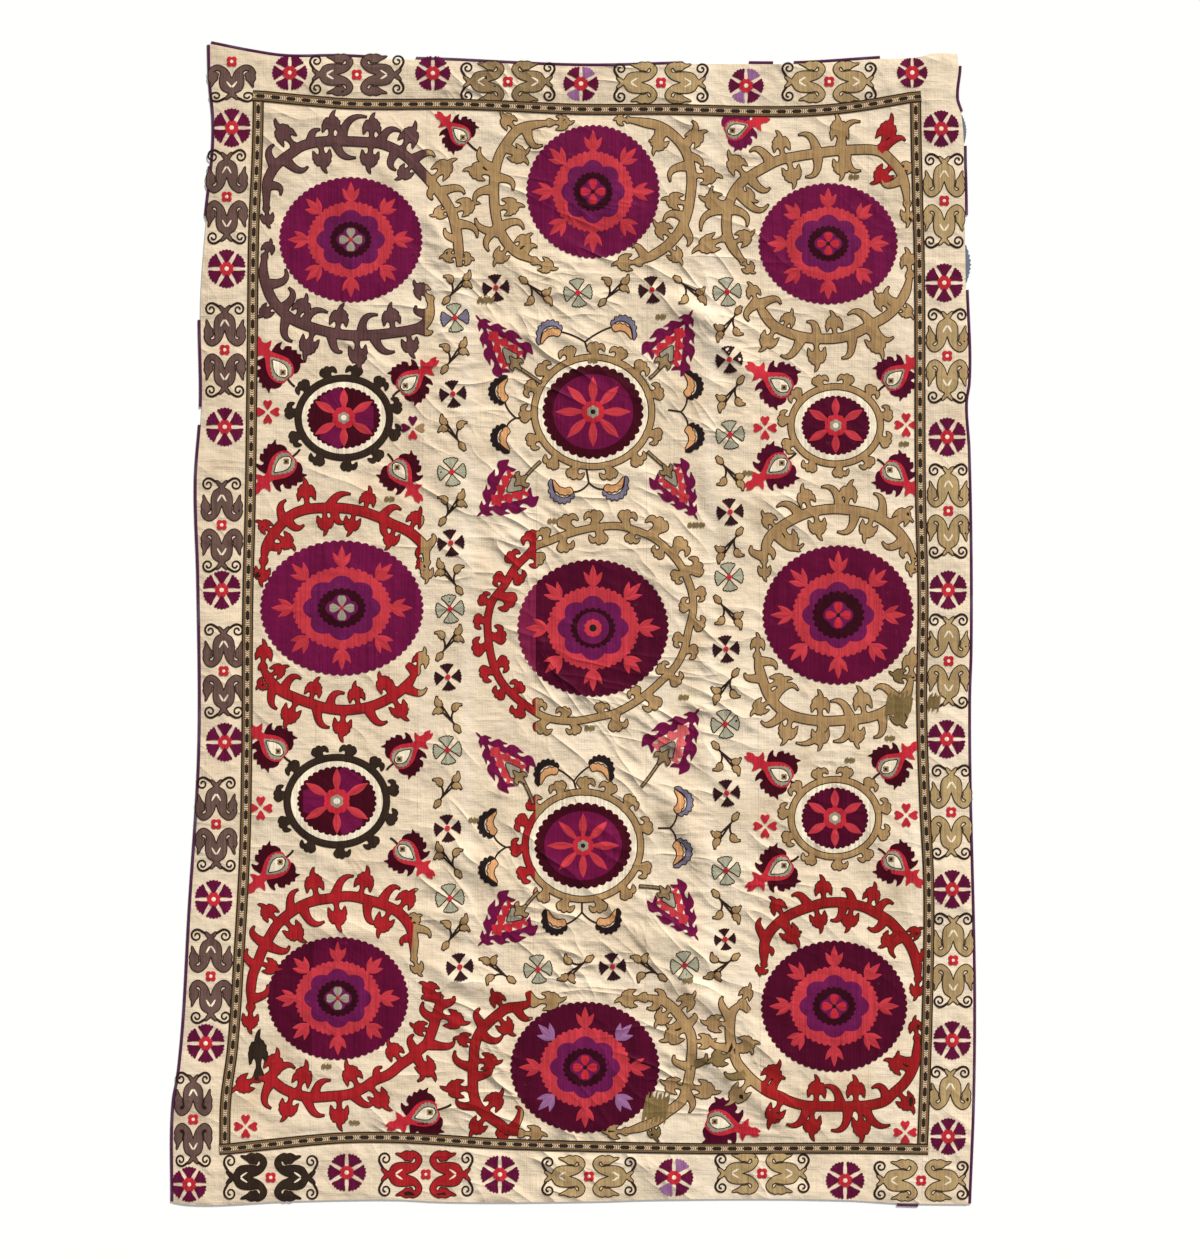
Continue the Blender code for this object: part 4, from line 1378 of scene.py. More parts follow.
VINES = (
    Vine("upper_left_top", Dye.TAN,
         "266.5,208 267,186 270.4,174.6 278,164 291.5,153.5 303,146 320.4,142 341.5,141.5 "
         "362.7,142.3 380,143.8 397.3,150.6 409,159 418.5,168.8 428,179 437.5,190 446,202 453,216 "
         "457,234 459,252 459.5,266",
         "L269,228 <281,194 >273,146 L274,121 >307,168 >319,130 L325,173 L333,111 >354,158 "
         ">364.6,117 L368.5,173 L372.7,113.5 >399,131 >395,170 L417,123 L397,181 >434,156 L455,158 "
         ">432,199 L431,217 >464,193 L479,202 <445,230 >477,236 L440,257 L474,259",
         Dye.MAUVE, 1),
    Vine("upper_left_bottom", Dye.TAN,
         "264.6,257 263.7,274.6 269.4,293.8 278,307 291.5,318.8 308.8,326.5 332,333 351,335.5 "
         "374,335 393.5,333 412,330 424,325 430,314 431,300",
         "L272,240 <286,271 <290,289 L258,318 L308,295 >291,341 L304,360 >341,352 L360,371 "
         ">393,352 L413,358 >432,332 >326,312 L342,304 >376,315 L389.6,303.5 >416,307 L413,282",
         Dye.MAUVE, 1),
    Vine("upper_centre_left", Dye.TAN,
         "549,123 530,126 517,131 507,143 499,157 495,174 494,190 495,209 499,228 507,243 519,254 "
         "534,261",
         "L574,123 L500,112 <541,146 L529,163 <480,149 <529,149 L464,169 >513,189 >475,203 "
         "L524,205 <476,220 >523,228 >488,250 L531,233 L493,265 >536,247 L557,270"),
    Vine("upper_centre_right", Dye.TAN,
         "628,120 645,123 658,126 670,133 681,144 688,157 691.5,176 690.5,195 687,214 680,231 "
         "667,246 652,256 640,262",
         "L614,119 <693,122 <650,141 L706,130 L652,154 >702,166 >670,180 L722,176 L662,198 "
         ">664,221 >688,245 L653,222 >633,247 L683,264 L612,264"),
    Vine("upper_right_top", Dye.TAN,
         "743,262 733,248 727,233 727,214 732,196 741,183 752,175 764,168 779,160.5 798,156.5 "
         "817,153.5 836,151 855,150 871,150 882,153 892,162 900,172 905,186 907,203",
         "L754,274 <701,229 L692,251 <747,225 L755,232 L699,198 >712,188 L727,152 L757,203 "
         ">767,206 >769,189 <751,151 L778,131 L795,188 <800,135 <807,177 L837,113 L842,180 "
         ">858,122 >859,171 L893,115 L872,185 >904,140 <882,181 L913,163 L908,227",
         specials={"L893,115": Dye.VINE_RED, "L872,185": Dye.VINE_RED, ">904,140": Dye.VINE_RED}),
    Vine("upper_right_bottom", Dye.TAN,
         "757,303 764,314 773,325 786,332 801.5,337 821,339 840,338 855,333.5 871,325 886,316.5 "
         "898,305 906,291 910,276",
         "L749,282 >780,303 >748,320 L761,352 L793,310 <782,356 <808,322 L817,371 L832,311 "
         "<843,358 <849,314 L884,358 >892,338 L873,292 >888,288 L914,318 L907,248"),
    Vine("middle_left_top", Dye.TAN,
         "264,560 266,548 272,536 280,526 290,516 304,510 320,508 340,508 360,511 378,517 392,524 "
         "406,530 417,538 425,548 427,562",
         "L261,586 <279,553 L257,520 L296,549 >285,501 >303,526 L305,478 L326,535 >349,494 "
         ">344,523 L371,487 L349,536 >400,509 >388,536 L422,508 L387,550 >418,557 <433,535 "
         "L416,567 L427,583",
         Dye.VINE_RED, 1),
    Vine("middle_left_bottom", Dye.TAN,
         "263,668 270,680 280,690 294,697 310,703 326,708 344,710 364,708 380,703 396,694 408,684 "
         "416,672",
         "L265,640 L288,665 L256,688 >300,678 >276,708 L318,677 L284,728 >343,693 >328,727 "
         "L354,682 L341,741 <381,686 >386,722 L378,673 L407,721 <407,664 L426,648 >426,689",
         Dye.VINE_RED, 1),
    Vine("centre_ring", Dye.TAN,
         "488,617 493,600 504,586 515,568 527.6,555 536,546 547,542 562,536 582,530 599,527 617,526 "
         "634,530 651.5,537 664.6,546.7 677.6,561 686,576 692,593.5 693,611 688.5,630 684,650 "
         "675,667 662,680 647,693.5 632,704 614.6,713 597,717 577.6,720.6 558,720 543,716 527,706 "
         "512,694 501,681 494,666 490,650 488,633",
         "K542,529 K564.6,516 K594,511 K627.6,511 K661,518.5 K686,542 K701.5,565 K705,593.5 "
         "K703.7,626 K697,652 K680,682.6 K656,708.7 K619,730 K575,732.6 K539.6,732.6 K516,716 "
         "K527,533 K509,553 K495,577 K484,599 K477,621 K473,648 K481,675 K496,696 "
         "K523,581 K513,605 K505,634 K508,662 K521,683 K541.7,563 K566.7,551 K599,543.5 K631,541 "
         "K657,554 K674,578 K680,605 K675,639 K661,667 K634,691 K601.5,706.5 K564.6,709.8 "
         "K541,701",
         Dye.VINE_RED, 2, closed=True, half=3.1),
    Vine("middle_right_top", Dye.TAN,
         "764,560 766,545 772,534 784,524.5 800,516 815,511 835,509 855,511 873,515 887,523 "
         "899,533 908,546 914,558",
         "L765,581 >751,547 <773,558 L761,512 L798,552 >802,545 <778,506 L801,485 L820,540 "
         "<823,487 <839,532 L851,480 L863,542 <875,494 <883,543 L911,506 >912,521 >903,557 "
         "L910,576"),
    Vine("middle_right_bottom", Dye.TAN,
         "757,656 759,668 763,681 768,694 776,705 788,714 805,719 825,721 845,720 865,718 881,713 "
         "895,704 907,692 911,678",
         "L758,633 >776,668 <745,674 L791,677 L750,714 >797,689 <762,722 L783,745 L820,690 "
         "<798,743 <832,701 L820,750 L859,686 <835,741 L857,748 <875,689 <875,737 L889,673 "
         "L905,728 L912,648",
         specials={"L889,673": Dye.OLIVE, "L905,728": Dye.OLIVE}),
    Vine("lower_left_top", Dye.TAN,
         "251,1006 251,990 253,975 258,962 263,949 269,938 277,925 286,916 299,907 313,901 331,898 "
         "350,896 369,900 385,905 397,911 407,921 412,931 414,944 414,958",
         "L250,1033 >268,986 L282,970 >247,950 >289,947 >254,927 L260,903 >297,890 L305,943 "
         "L312,868 >323,922 >352,876 L340,931 >376,923 L369,867 >399,888 L377,936 L416,888 "
         ">402,944 >430,936 L421,976 L421,914",
         Dye.VINE_RED, 1, specials={"L421,914": Dye.TAN}),
    Vine("lower_left_bottom", Dye.VINE_RED,
         "259,1077 272,1080 283,1088 297,1094 311,1097 329,1096 349,1094 363,1088 375,1080 "
         "389,1074 400,1065 410,1058 419,1050 427,1043 431,1034 435,1022 439,1007 440,998",
         "L232,1090 L258,1030 L279,1049 >294,1067 >270,1107 L283,1121 L308,1061 >329,1080 "
         ">323,1115 L345,1061 L340,1130 >373,1103 >381,1067 L387,1040 L390,1111 L437,1079 "
         "<419,1080 >413,1035 >454,1041 L410,1024 L469,1024 >423,1003 <423,998 >454,997 L421,981",
         specials={"L258,1030": Dye.DARK_OLIVE}),
    Vine("lower_centre_left", Dye.TAN,
         "533,1002 520,1006 507,1008 497,1015 489,1022 480,1032 475,1045 474,1057 473,1070 "
         "473,1082 474,1095 479,1107 490,1117 500,1124 508,1130 520,1133",
         "L566,999 >528,991 <531,1018 L491,989 L514,1036 <479,1009 L454,1037 <502,1036 L502,1062 "
         "<455,1052 <491,1067 L441,1088 L504,1090 <457,1100 L469,1136 <517,1107 L498,1140 "
         "L547,1134",
         Dye.DARK_RED, 2),
    Vine("lower_centre_right", Dye.TAN,
         "645,997 662,1000 672,1007 680,1016 686,1025 691,1035 692,1047 691,1060 690,1072 "
         "687,1085 682,1100 667,1112 655,1121 640,1127 626,1131",
         "L615,1000 <656,990 L696,992 <648,1008 L654,1026 <667,1024 <694,1014 L661,1042 "
         "L716,1040 <706,1054 <674,1056 L660,1081 L720,1093 >690,1111 L657,1141 L602,1132",
         specials={"L657,1141": Dye.OLIVE, "<706,1054": Dye.OLIVE}),
    Vine("lower_right_branch", Dye.DARK_RED,
         "741,1003 732,1012 730,1024 730,1037 733,1050 737,1062 745,1072 753,1080 762,1087 "
         "770,1092 780,1096 790,1101 804,1105 820,1106 836,1106 852,1106 868,1105 884,1101 "
         "894,1092 903,1084 910,1074 915,1062 917,1050 917,1038",
         "L751,984 <722,997 >749,1011 L701,1022 <709,1036 L759,1041 L706,1061 >752,1053 "
         "<725,1072 L727,1106 L781,1061 >784,1078 L767,1127 <788,1124 L817,1075 <824,1086 "
         "L812,1140 <833,1130 L855,1075 L862,1143 <873,1087 >888,1125 L885,1058 L915,1112 "
         ">898,1052 L914,1016",
         Dye.TAN, 4, specials={"L706,1061": Dye.OLIVE, "<725,1072": Dye.OLIVE}),
    Vine("lower_right_top", Dye.DARK_RED,
         "764,964 764,952 765,941 771,930 780,921 789,915 800,910 812,906 824,903 840,902 852,904 "
         "864,907 876,913 888,920 898,930 908,942 914,954 917,966 918,978",
         "L759,975 <772,954 >760,919 L800,946 L771,896 >800,932 <793,895 L822,932 L822,875 "
         "<832,920 <843,889 L847,932 L876,883 <869,928 >892,903 L880,948 >894,956 L922,927 "
         "<922,950 L915,1000"))

PEARS = [PearPalmette(*row) for row in (
    (281, 370, 130, 1.0), (408, 384, 40, 0.9), (284, 464, 222, 1.0), (399, 470, 305, 0.9),
    (781, 386, 148, 0.95, Dye.DARK_PURPLE), (893, 379, 40, 0.9, Dye.DARK_PURPLE),
    (779, 465, 215, 0.95, Dye.DARK_PURPLE), (892, 472, 320, 0.9, Dye.DARK_PURPLE), (276, 749, 140, 0.95),
    (402, 757, 40, 0.9), (278, 864, 222, 0.95), (405, 851, 318, 0.9), (781, 775, 150, 0.95),
    (888, 767, 38, 0.9), (781, 867, 212, 0.95), (893, 861, 320, 0.9), (461, 136, 137, 0.78, Dye.MAROON, 14),
    (735, 130, 20, 0.85, Dye.PURPLE, 0), (427, 1113, 200, 1.0, Dye.MAROON, 12),
    (718, 1122, 345, 1.0, Dye.DARK_PURPLE, 0))]

HOOKED = [HookedPalmette(*row) for row in (
    ((474, 313), ((533, 351), (498, 376)), (541, 383)), ((694, 308), ((642, 350), (685, 374)), (650, 378)),
    ((475, 518), ((506, 459), (536, 502)), (540, 462)),
    ((699, 522), ((682, 457), (652, 485)), (648, 452), Dye.CORAL),
    ((474, 730), ((534, 762), (505, 792)), (533, 803), Dye.CORAL),
    ((701, 706), ((642, 742), (684, 772)), (642, 786), Dye.PINK),
    ((476, 947), ((505, 890), (536, 930)), (538, 892), Dye.RED),
    ((700, 942), ((681, 880), (648, 905)), (640, 886), Dye.CORAL))]

CRESCENTS = [CrescentPair(Crescent(*first), Crescent(*second), root, fork)
             for first, second, root, fork in (
    ((551, 331, 10), (622, 326, 170, Dye.SLATE, True), (588, 352), (585, 342)),
    ((500, 393, 285, Dye.BLACK, True), (502, 436, 75, Dye.BLACK), (531, 419), (516, 418)),
    ((692, 388, 255, Dye.BLACK), (693, 435, 105, Dye.BLACK, True), (668, 410), (681, 412)),
    ((563, 493, 350, Dye.SLATE, True), (614, 490, 190), (586, 467), (589, 483)),
    ((548, 770, 20, Dye.BLACK), (600, 766, 165, Dye.BLACK, True), (577, 791), (574, 781)),
    ((489, 826, 285, Dye.BLACK, True), (490, 868, 75, Dye.BLACK), (524, 846), (506, 847)),
    ((682, 804, 255), (681, 850, 105, Dye.SLATE, True), (658, 828), (670, 828)),
    ((556, 924, 345, Dye.BLACK, True), (607, 923, 195, Dye.BLACK), (582, 900), (582, 912)))]

CROSS_FLOWERS = [CrossFlower(*row) for row in (
    (455, 318, False, Dye.SLATE), (453, 394), (452, 472, False), (451, 543), (450, 609, False), (448, 677),
    (447.5, 750, False), (447.7, 828), (450, 898, False), (460, 966.5), (496, 288), (578, 293, False),
    (652, 290), (727, 292, False), (729, 360), (730, 435, False), (730, 512), (729, 577, False), (726, 649),
    (725, 724, False), (726.5, 793), (726, 870.5, False), (725, 939, True, None, 0.8), (538, 969, False),
    (612.6, 966.5), (684.5, 965, False))]

SPRIGS = [Sprig(*row) for row in (
    (457, 288, 50), (536, 291, 320, True), (614, 291, 45), (690, 290, 320, True), (729, 324, 235),
    (454, 356), (453, 433, 125, True), (452, 508), (450, 577, 125, True), (449, 643), (448, 715, 125, True),
    (447, 790), (449, 860, 125, True), (455, 932), (731, 394, 235), (730, 473, 310, True), (730, 545, 235),
    (728, 612, 310, True), (726, 686, 235), (726, 758, 310, True), (726, 830, 235), (726, 906, 310, True),
    (498, 970, 145), (576, 968, 215, True), (649, 968, 145), (722, 966, 215, True))]

HEARTS = [HeartFlower(*row) for row in (
    (268, 412), (413, 428, (Dye.TAN, Dye.ROSETTE, Dye.ROSETTE, Dye.RED)), (765, 428), (906, 425),
    (261, 808), (765, 826), (906, 815), (246, 1126), (905, 1132))]

ROSETTES = [Rosette(*row) for row in (
    (232, 128), (227, 269), (225, 427), (222, 590), (225, 742), (214, 899), (206, 1043),
    (189.5, 1184, 0.92), (941, 129, 0.95), (944, 283), (947, 437), (948, 590), (946.5, 739), (952, 889),
    (952, 1040), (948, 1136, 0.95), (290, 73, 0.92, False), (433, 73.5, 0.92, False),
    (581, 84, 0.92, False, Dye.LILAC), (746, 86, 0.92, False, Dye.LILAC), (912, 73, 0.8, False),
    (347, 1172, 1.0, False), (500, 1174, 1.0, False), (674, 1177, 1.0, False, Dye.LILAC),
    (845, 1180, 1.0, False))]

LEAF_PAIRS = [LeafPair(*row) for row in (
    (232, 62, True, Dye.DUSKY, 1.1, 0.85, (-1,)), (227, 197, True), (225, 350, True), (222, 525, True),
    (224, 671, True), (216.5, 824, True), (211, 976, True, Dye.DUSKY, 0.98),
    (193.5, 1119, True, Dye.DUSKY, 0.86), (944, 201, True, Dye.LEAF_TAN), (947, 356, True, Dye.LEAF_TAN),
    (948, 511, True, Dye.LEAF_TAN), (948.4, 661, True, Dye.LEAF_TAN), (951, 812, True, Dye.LEAF_TAN),
    (953, 960, True, Dye.LEAF_TAN), (950, 1113, True, Dye.LEAF_TAN, 0.95, 1.0, (1,), False),
    (357, 75, False), (508, 82, False, Dye.BROWN_TAN), (661, 83, False, Dye.LEAF_TAN),
    (829, 82, False, Dye.LEAF_TAN), (271, 1177, False, Dye.DARK_OLIVE, 1.1),
    (426, 1174, False, Dye.VINE_RED, 1.08), (589, 1176, False, Dye.LEAF_TAN),
    (762, 1173, False, Dye.LEAF_TAN), (921, 1180, False, Dye.LEAF_TAN))]

REPAIRS = [Repair(*row) for row in (
    (486, 300, 20, 8, 4), (661, 317), (553, 521), (693, 525), (700, 525), (593, 361), (904, 444),
    (748, 473), (684, 697), (590, 728), (850, 760), (890, 738), (474, 820), (355, 1122, 80), (327, 1066),
    (688, 980), (854, 177), (390, 499), (656, 1107, 30, 12, 17), (899, 705, 30, 13, 15),
    (934, 702, 30, 6, 10))]


def operator(operation: str, turned: bool = False) -> Callable[["Link", "Value"], "Link"]:
    """A method that joins a link and another value by a Math node.

    Args:
        operation: the node's operation.
        turned: whether the other value comes first.

    Returns:
        The method.
    """
    def method(link: "Link", other: "Value") -> "Link":
        """The result of the two values."""
        pair = (other, link) if turned else (link, other)
        return link.paint.maths(operation, *pair)
    return method


class Link:
    """One value or colour in a material, with Python's operators standing for its Math nodes."""
    __add__, __radd__ = operator("ADD"), operator("ADD", True)
    __sub__, __rsub__ = operator("SUBTRACT"), operator("SUBTRACT", True)
    __mul__, __rmul__ = operator("MULTIPLY"), operator("MULTIPLY", True)
    __truediv__ = operator("DIVIDE")
    __gt__, __lt__ = operator("GREATER_THAN"), operator("LESS_THAN")

    def __init__(self, paint: "Paint", socket: bpy.types.NodeSocket) -> None:
        """Args: the material being made and the output that this stands for."""
        self.paint = paint
        self.socket = socket

    def __abs__(self) -> "Link":
        """Its size without its sign."""
        return self.paint.maths("ABSOLUTE", self)

    def fraction(self) -> "Link":
        """What is left of it past its whole part."""
        return self.paint.maths("FRACT", self)

    def limited(self) -> "Link":
        """Kept between 0 and 1."""
        return self.paint.maths("MINIMUM", self.paint.maths("MAXIMUM", self, 0.0), 1.0)


Value = Union[Link, float, Sequence[float]]


class Paint:
    """A material being made: a Principled shader and the nodes that feed it."""

    def __init__(self, name: str, roughness: float, sheen: float = 0.0) -> None:
        """Args: its name and what is the same all over it."""
        self.material = bpy.data.materials.new(name)
        self.material.use_nodes = True
        self.tree = self.material.node_tree
        self.shader = self.tree.nodes["Principled BSDF"]
        self.shader.inputs["Roughness"].default_value = roughness
        self.shader.inputs["Sheen Weight"].default_value = sheen
        self.shader.inputs["Specular IOR Level"].default_value = 0.08

    def node(self, kind: str, settings: dict, values: dict, output: Union[int, str] = 0) -> Link:
        """Adds a node.

        Args:
            kind: its type.
            settings: what is set on it first; 'stops' are where a ramp is black and white.
            values: values or links of its inputs, by identifier, name or number.
            output: the output wanted, by number, identifier or name.

        Returns:
            That output.
        """
        node = self.tree.nodes.new(kind)
        for setting, value in settings.items():
            if setting == "stops":
                for element, position, grey in zip(node.color_ramp.elements, value, (0, 1)):
                    element.position = position
                    element.color = (grey, grey, grey, 1)
            else:
                setattr(node, setting, value)
        for key, value in values.items():
            socket = self._find(node.inputs, key)
            if isinstance(value, Link):
                self.tree.links.new(value.socket, socket)
            else:
                socket.default_value = value
        return Link(self, self._find(node.outputs, output))

    @staticmethod
    def _find(sockets: Iterable, key: Union[int, str]) -> bpy.types.NodeSocket:
        """A socket by its number, identifier or name."""
        if isinstance(key, int):
            return sockets[key]
        return next((s for s in sockets if s.identifier == key), None) or sockets[key]

    def place(self) -> Link:
        """Object coordinates, in metres."""
        return self.node("ShaderNodeTexCoord", {}, {}, "Object")

    def axis(self, where: Link, name: str) -> Link:
        """One coordinate of a place."""
        return self.node("ShaderNodeSeparateXYZ", {}, {"Vector": where}, name)

    def maths(self, operation: str, first: Value, second: Value = 0.0) -> Link:
        """A Math node of two values."""
        return self.node("ShaderNodeMath", {"operation": operation}, {0: first, 1: second})

    def mix(self, share: Value, first: Value, second: Value, blend: str = "MIX") -> Link:
        """A colour between two, by share.

        Args:
            share: 0 for the first, 1 for the second.
            first: a colour or a link.
            second: a colour or a link.
            blend: how they are blended.

        Returns:
            The mixed colour.
        """
        pair = [value if isinstance(value, Link) else (*value, 1.0) for value in (first, second)]
        return self.node("ShaderNodeMix", {"data_type": "RGBA", "blend_type": blend},
                         {"Factor_Float": share, "A_Color": pair[0], "B_Color": pair[1]},
                         "Result_Color")

    def noise(self, where: Link, scale: Sequence[float], detail: float = 2.0,
              stops: Optional[Sequence[float]] = None) -> Link:
        """Noise stretched by its own scale on each axis.

        Args:
            where: the coordinates.
            scale: turns to a metre on each axis.
            detail: octaves.
            stops: where a ramp that it goes through is black and white, if it has one.

        Returns:
            A value from 0 to 1.
        """
        spot = self.node("ShaderNodeMapping", {}, {"Vector": where, "Scale": scale})
        value = self.node("ShaderNodeTexNoise", {}, {"Vector": spot, "Scale": 1.0, "Detail": detail})
        if stops:
            value = self.node("ShaderNodeValToRGB", {"stops": stops}, {"Fac": value})
        return value

    def finish(self, colour: Link, roughness: Optional[Link], height: Link, depth: float,
               strength: float) -> bpy.types.Material:
        """Joins the colour, roughness and relief to the shader.

        Args:
            colour: its base colour.
            roughness: its roughness, if it varies.
            height: relief from 0 to 1.
            depth: metres that the relief stands for.
            strength: how much of it shows.

        Returns:
            The material.
        """
        self.tree.links.new(colour.socket, self.shader.inputs["Base Color"])
        if roughness is not None:
            self.tree.links.new(roughness.socket, self.shader.inputs["Roughness"])
        bump = self.node("ShaderNodeBump", {}, {"Height": height, "Distance": depth,
                                                "Strength": strength})
        self.tree.links.new(bump.socket, self.shader.inputs["Normal"])
        return self.material


# Sets of creases: the turn in radians, the noise's scale on each axis, and their height
CREASE_SETS = ((0.50, (2.6, 9.5, 5), 0.17), (0.86, (3.4, 12, 5), 0.09), (0.10, (3, 14, 5), 0.09))
CREASE_FALL = 8.5        # how fast a crease falls off beside its line
CREASE_SIDE = 0.3        # height of the creases at the cloth's sides, as a share


def wrinkles(paint: Paint, where: Link) -> Link:
    """Small wrinkles that cloth and silk share: soft swells, three slanting sets of creases that
    come and go, weaker towards the cloth's sides, and a fine crumple. A crease is 1 where its noise
    passes a half and falls to 0 beside it.

    Args:
        paint: the material.
        where: Object coordinates.

    Returns:
        A height of about 0 to 1.
    """
    side = paint.axis(where, "X")
    middle = (1.35 - abs(side - 0.02) * 2.3).limited() * (1.0 - CREASE_SIDE) + CREASE_SIDE
    swell, crumple = (paint.noise(where, scale, 3.0) * weight
                      for scale, weight in (((4.6, 6.2, 5), 0.50), ((48, 62, 5), 0.05)))
    height = swell + crumple
    for turn, scale, weight in CREASE_SETS:
        slanted = paint.node("ShaderNodeMapping", {}, {"Vector": where, "Rotation": (0, 0, turn)})
        value = paint.noise(slanted, scale, 2.0)
        crease = (1.0 - abs(value - 0.5) * CREASE_FALL).limited()
        patch = paint.noise(slanted, (4, 5, 5), 1.0, (0.46, 0.62))
        height = height + crease * crease * patch * middle * weight
    return height


@dataclass(frozen=True)
class CottonFinish:
    """Hand-woven cotton: slubs both ways, stains, paler bands, painted shade that darkens it towards its left
    side, and small wrinkles.
    """
    name: str = "ground_cotton"
    light: tuple = (0.825, 0.688, 0.513)
    dark: tuple = (0.663, 0.528, 0.376)
    # Colour of the real stains, also used for the painted shade towards the left side
    stain_and_shade: tuple = (0.500, 0.355, 0.205)
    # Paler tone of the bands and patches below
    pale_tint: tuple = (0.840, 0.725, 0.580)
    bands: tuple = ((468, 11), (711, 9))
    level_bands: tuple = ((980, 7),)
    roughness: float = 0.93

    def build(self) -> bpy.types.Material:
        """Makes the material on Object coordinates."""
        paint = Paint(self.name, self.roughness, 0.15)
        where = paint.place()
        axes = {name: paint.axis(where, name) for name in ("X", "Y")}
        warp = paint.noise(where, (420, 14, 1), 3.0)
        weft = paint.noise(where, (18, 380, 1), 3.0)
        weave = warp * 0.58 + weft * 0.42
        tone = paint.node("ShaderNodeValToRGB", {"stops": (0.34, 0.66)}, {"Fac": weave})
        colour = paint.mix(tone, self.dark, self.light)
        clouds = paint.noise(where, (3.1, 3.6, 1), 4.0, (0.40, 0.62))
        colour = paint.mix(clouds * 0.42, colour, self.light)
        # Paler patches from noise, and paler straight bands at the given columns and row
        pale_share = paint.noise(where, (7, 2.2, 1), 4.0, (0.50, 0.72))
        for centre, half in self.bands:
            pale_share = pale_share + self._band(axes["X"], (centre - CENTRE_ACROSS) * PIXEL, half * PIXEL)
        for centre, half in self.level_bands:
            pale_share = pale_share + self._band(axes["Y"], (CENTRE_DOWN - centre) * PIXEL, half * PIXEL)
        colour = paint.mix(pale_share.limited() * 0.55, colour, self.pale_tint)
        spots = paint.noise(where, (5.3, 6.1, 1), 5.0, (0.56, 0.74))
        colour = paint.mix(spots * 0.50, colour, self.stain_and_shade)
        flecks = paint.noise(where, (46, 58, 1), 2.0, (0.70, 0.80))
        colour = paint.mix(flecks * 0.35, colour, self.stain_and_shade)
        # Painted shade: more of the stain colour towards the cloth's left side, where the light falls off
        colour = paint.mix((0.10 - axes["X"] * 0.10).limited(), colour, self.stain_and_shade)
        relief = wrinkles(paint, where) + weave * 0.03
        return paint.finish(colour, None, relief, 0.040, 1.0)

    @staticmethod
    def _band(axis: Link, centre: float, half: float) -> Link:
        """1 on a band's middle, falling evenly to 0 at its sides."""
        return (1.0 - abs(axis - centre) / half).limited()


@dataclass(frozen=True)
class SilkFinish:
    """Laid silk: the patch's own dye in streaks along its threads, with fine thread relief."""
    name: str = "silk_thread"
    roughness: float = 0.60
    darker: tuple = (0.60, 0.54, 0.55)
    lighter: tuple = (1.38, 1.50, 1.44)
    worn: tuple = (0.62, 0.50, 0.36)

    def build(self) -> bpy.types.Material:
        """Makes the material on the thread map and on Object coordinates."""
        paint = Paint(self.name, self.roughness)
        where = paint.place()
        thread = paint.node("ShaderNodeUVMap", {"uv_map": "thread"}, {}, "UV")
        dye = self._attribute(paint, "dye", "Color")
        left = self._attribute(paint, "left_dye", "Color")
        seam = self._attribute(paint, "seam", "Fac")
        colour = paint.mix(seam > 0.0, left, dye)
        streaks = paint.noise(thread, (260, 9, 1), 3.0, (0.30, 0.70))
        broad = paint.noise(thread, (34, 4, 1), 3.0, (0.32, 0.68))
        fine = paint.noise(thread, (900, 60, 1), 2.0)
        shade = streaks * 0.54 + broad * 0.30 + fine * 0.16
        darker = paint.mix(1.0, colour, self.darker, "MULTIPLY")
        lighter = paint.mix(1.0, colour, self.lighter, "MULTIPLY")
        colour = paint.mix(shade, darker, lighter)
        worn = paint.noise(where, (60, 75, 1), 4.0, (0.66, 0.80))
        colour = paint.mix(worn * 0.05, colour, self.worn)
        relief = wrinkles(paint, where) * 0.7 + fine * 0.014 + streaks * 0.01
        rough = 0.52 + shade * 0.2
        return paint.finish(colour, rough, relief, 0.030, 1.0)

    @staticmethod
    def _attribute(paint: Paint, name: str, output: str) -> Link:
        """A value that each point of the mesh carries."""
        return paint.node("ShaderNodeAttribute", {"attribute_name": name}, {}, output)


@dataclass(frozen=True)
class TapeFinish:
    """Woven tape: dark selvedges, ochre sides, and a middle row of black lozenges and cream
    chevrons. Its map gives metres along it and, from 0 to 1, across it."""
    name: str = "patterned_tape"
    pitch: float = 0.0345
    ochre: tuple = (0.150, 0.080, 0.030)
    pale_ochre: tuple = (0.270, 0.160, 0.070)
    black: tuple = (0.022, 0.014, 0.010)
    cream: tuple = (0.720, 0.590, 0.430)

    def build(self) -> bpy.types.Material:
        """Makes the material on the tape's own map."""
        paint = Paint(self.name, 0.86, 0.1)
        spot = paint.node("ShaderNodeUVMap", {"uv_map": "thread"}, {}, "UV")
        along = paint.axis(spot, "X")
        across = paint.axis(spot, "Y")
        side = abs(across - 0.5) * 2.0
        phase = abs((along / self.pitch).fraction() - 0.5) * 2.0
        uneven = paint.noise(spot, (70, 5, 1), 2.0)
        colour = paint.mix(uneven, self.ochre, self.pale_ochre)
        middle = side < 0.36
        chevron = ((along / (self.pitch / 7) + side * 1.1).fraction() > 0.52) * middle
        colour = paint.mix(chevron * 0.9, colour, self.cream)
        lozenge = (phase + side * 0.60) < 0.66
        colour = paint.mix(lozenge * (side < 0.33), colour, self.black)
        stripe = (abs(side - 0.52) < 0.05) * 0.6
        colour = paint.mix(stripe, colour, self.black)
        colour = paint.mix(side > 0.74, colour, self.black)
        ribs = (along / 0.0016).fraction()
        return paint.finish(colour, None, ribs * 0.5 + uneven, 0.0004, 0.5)


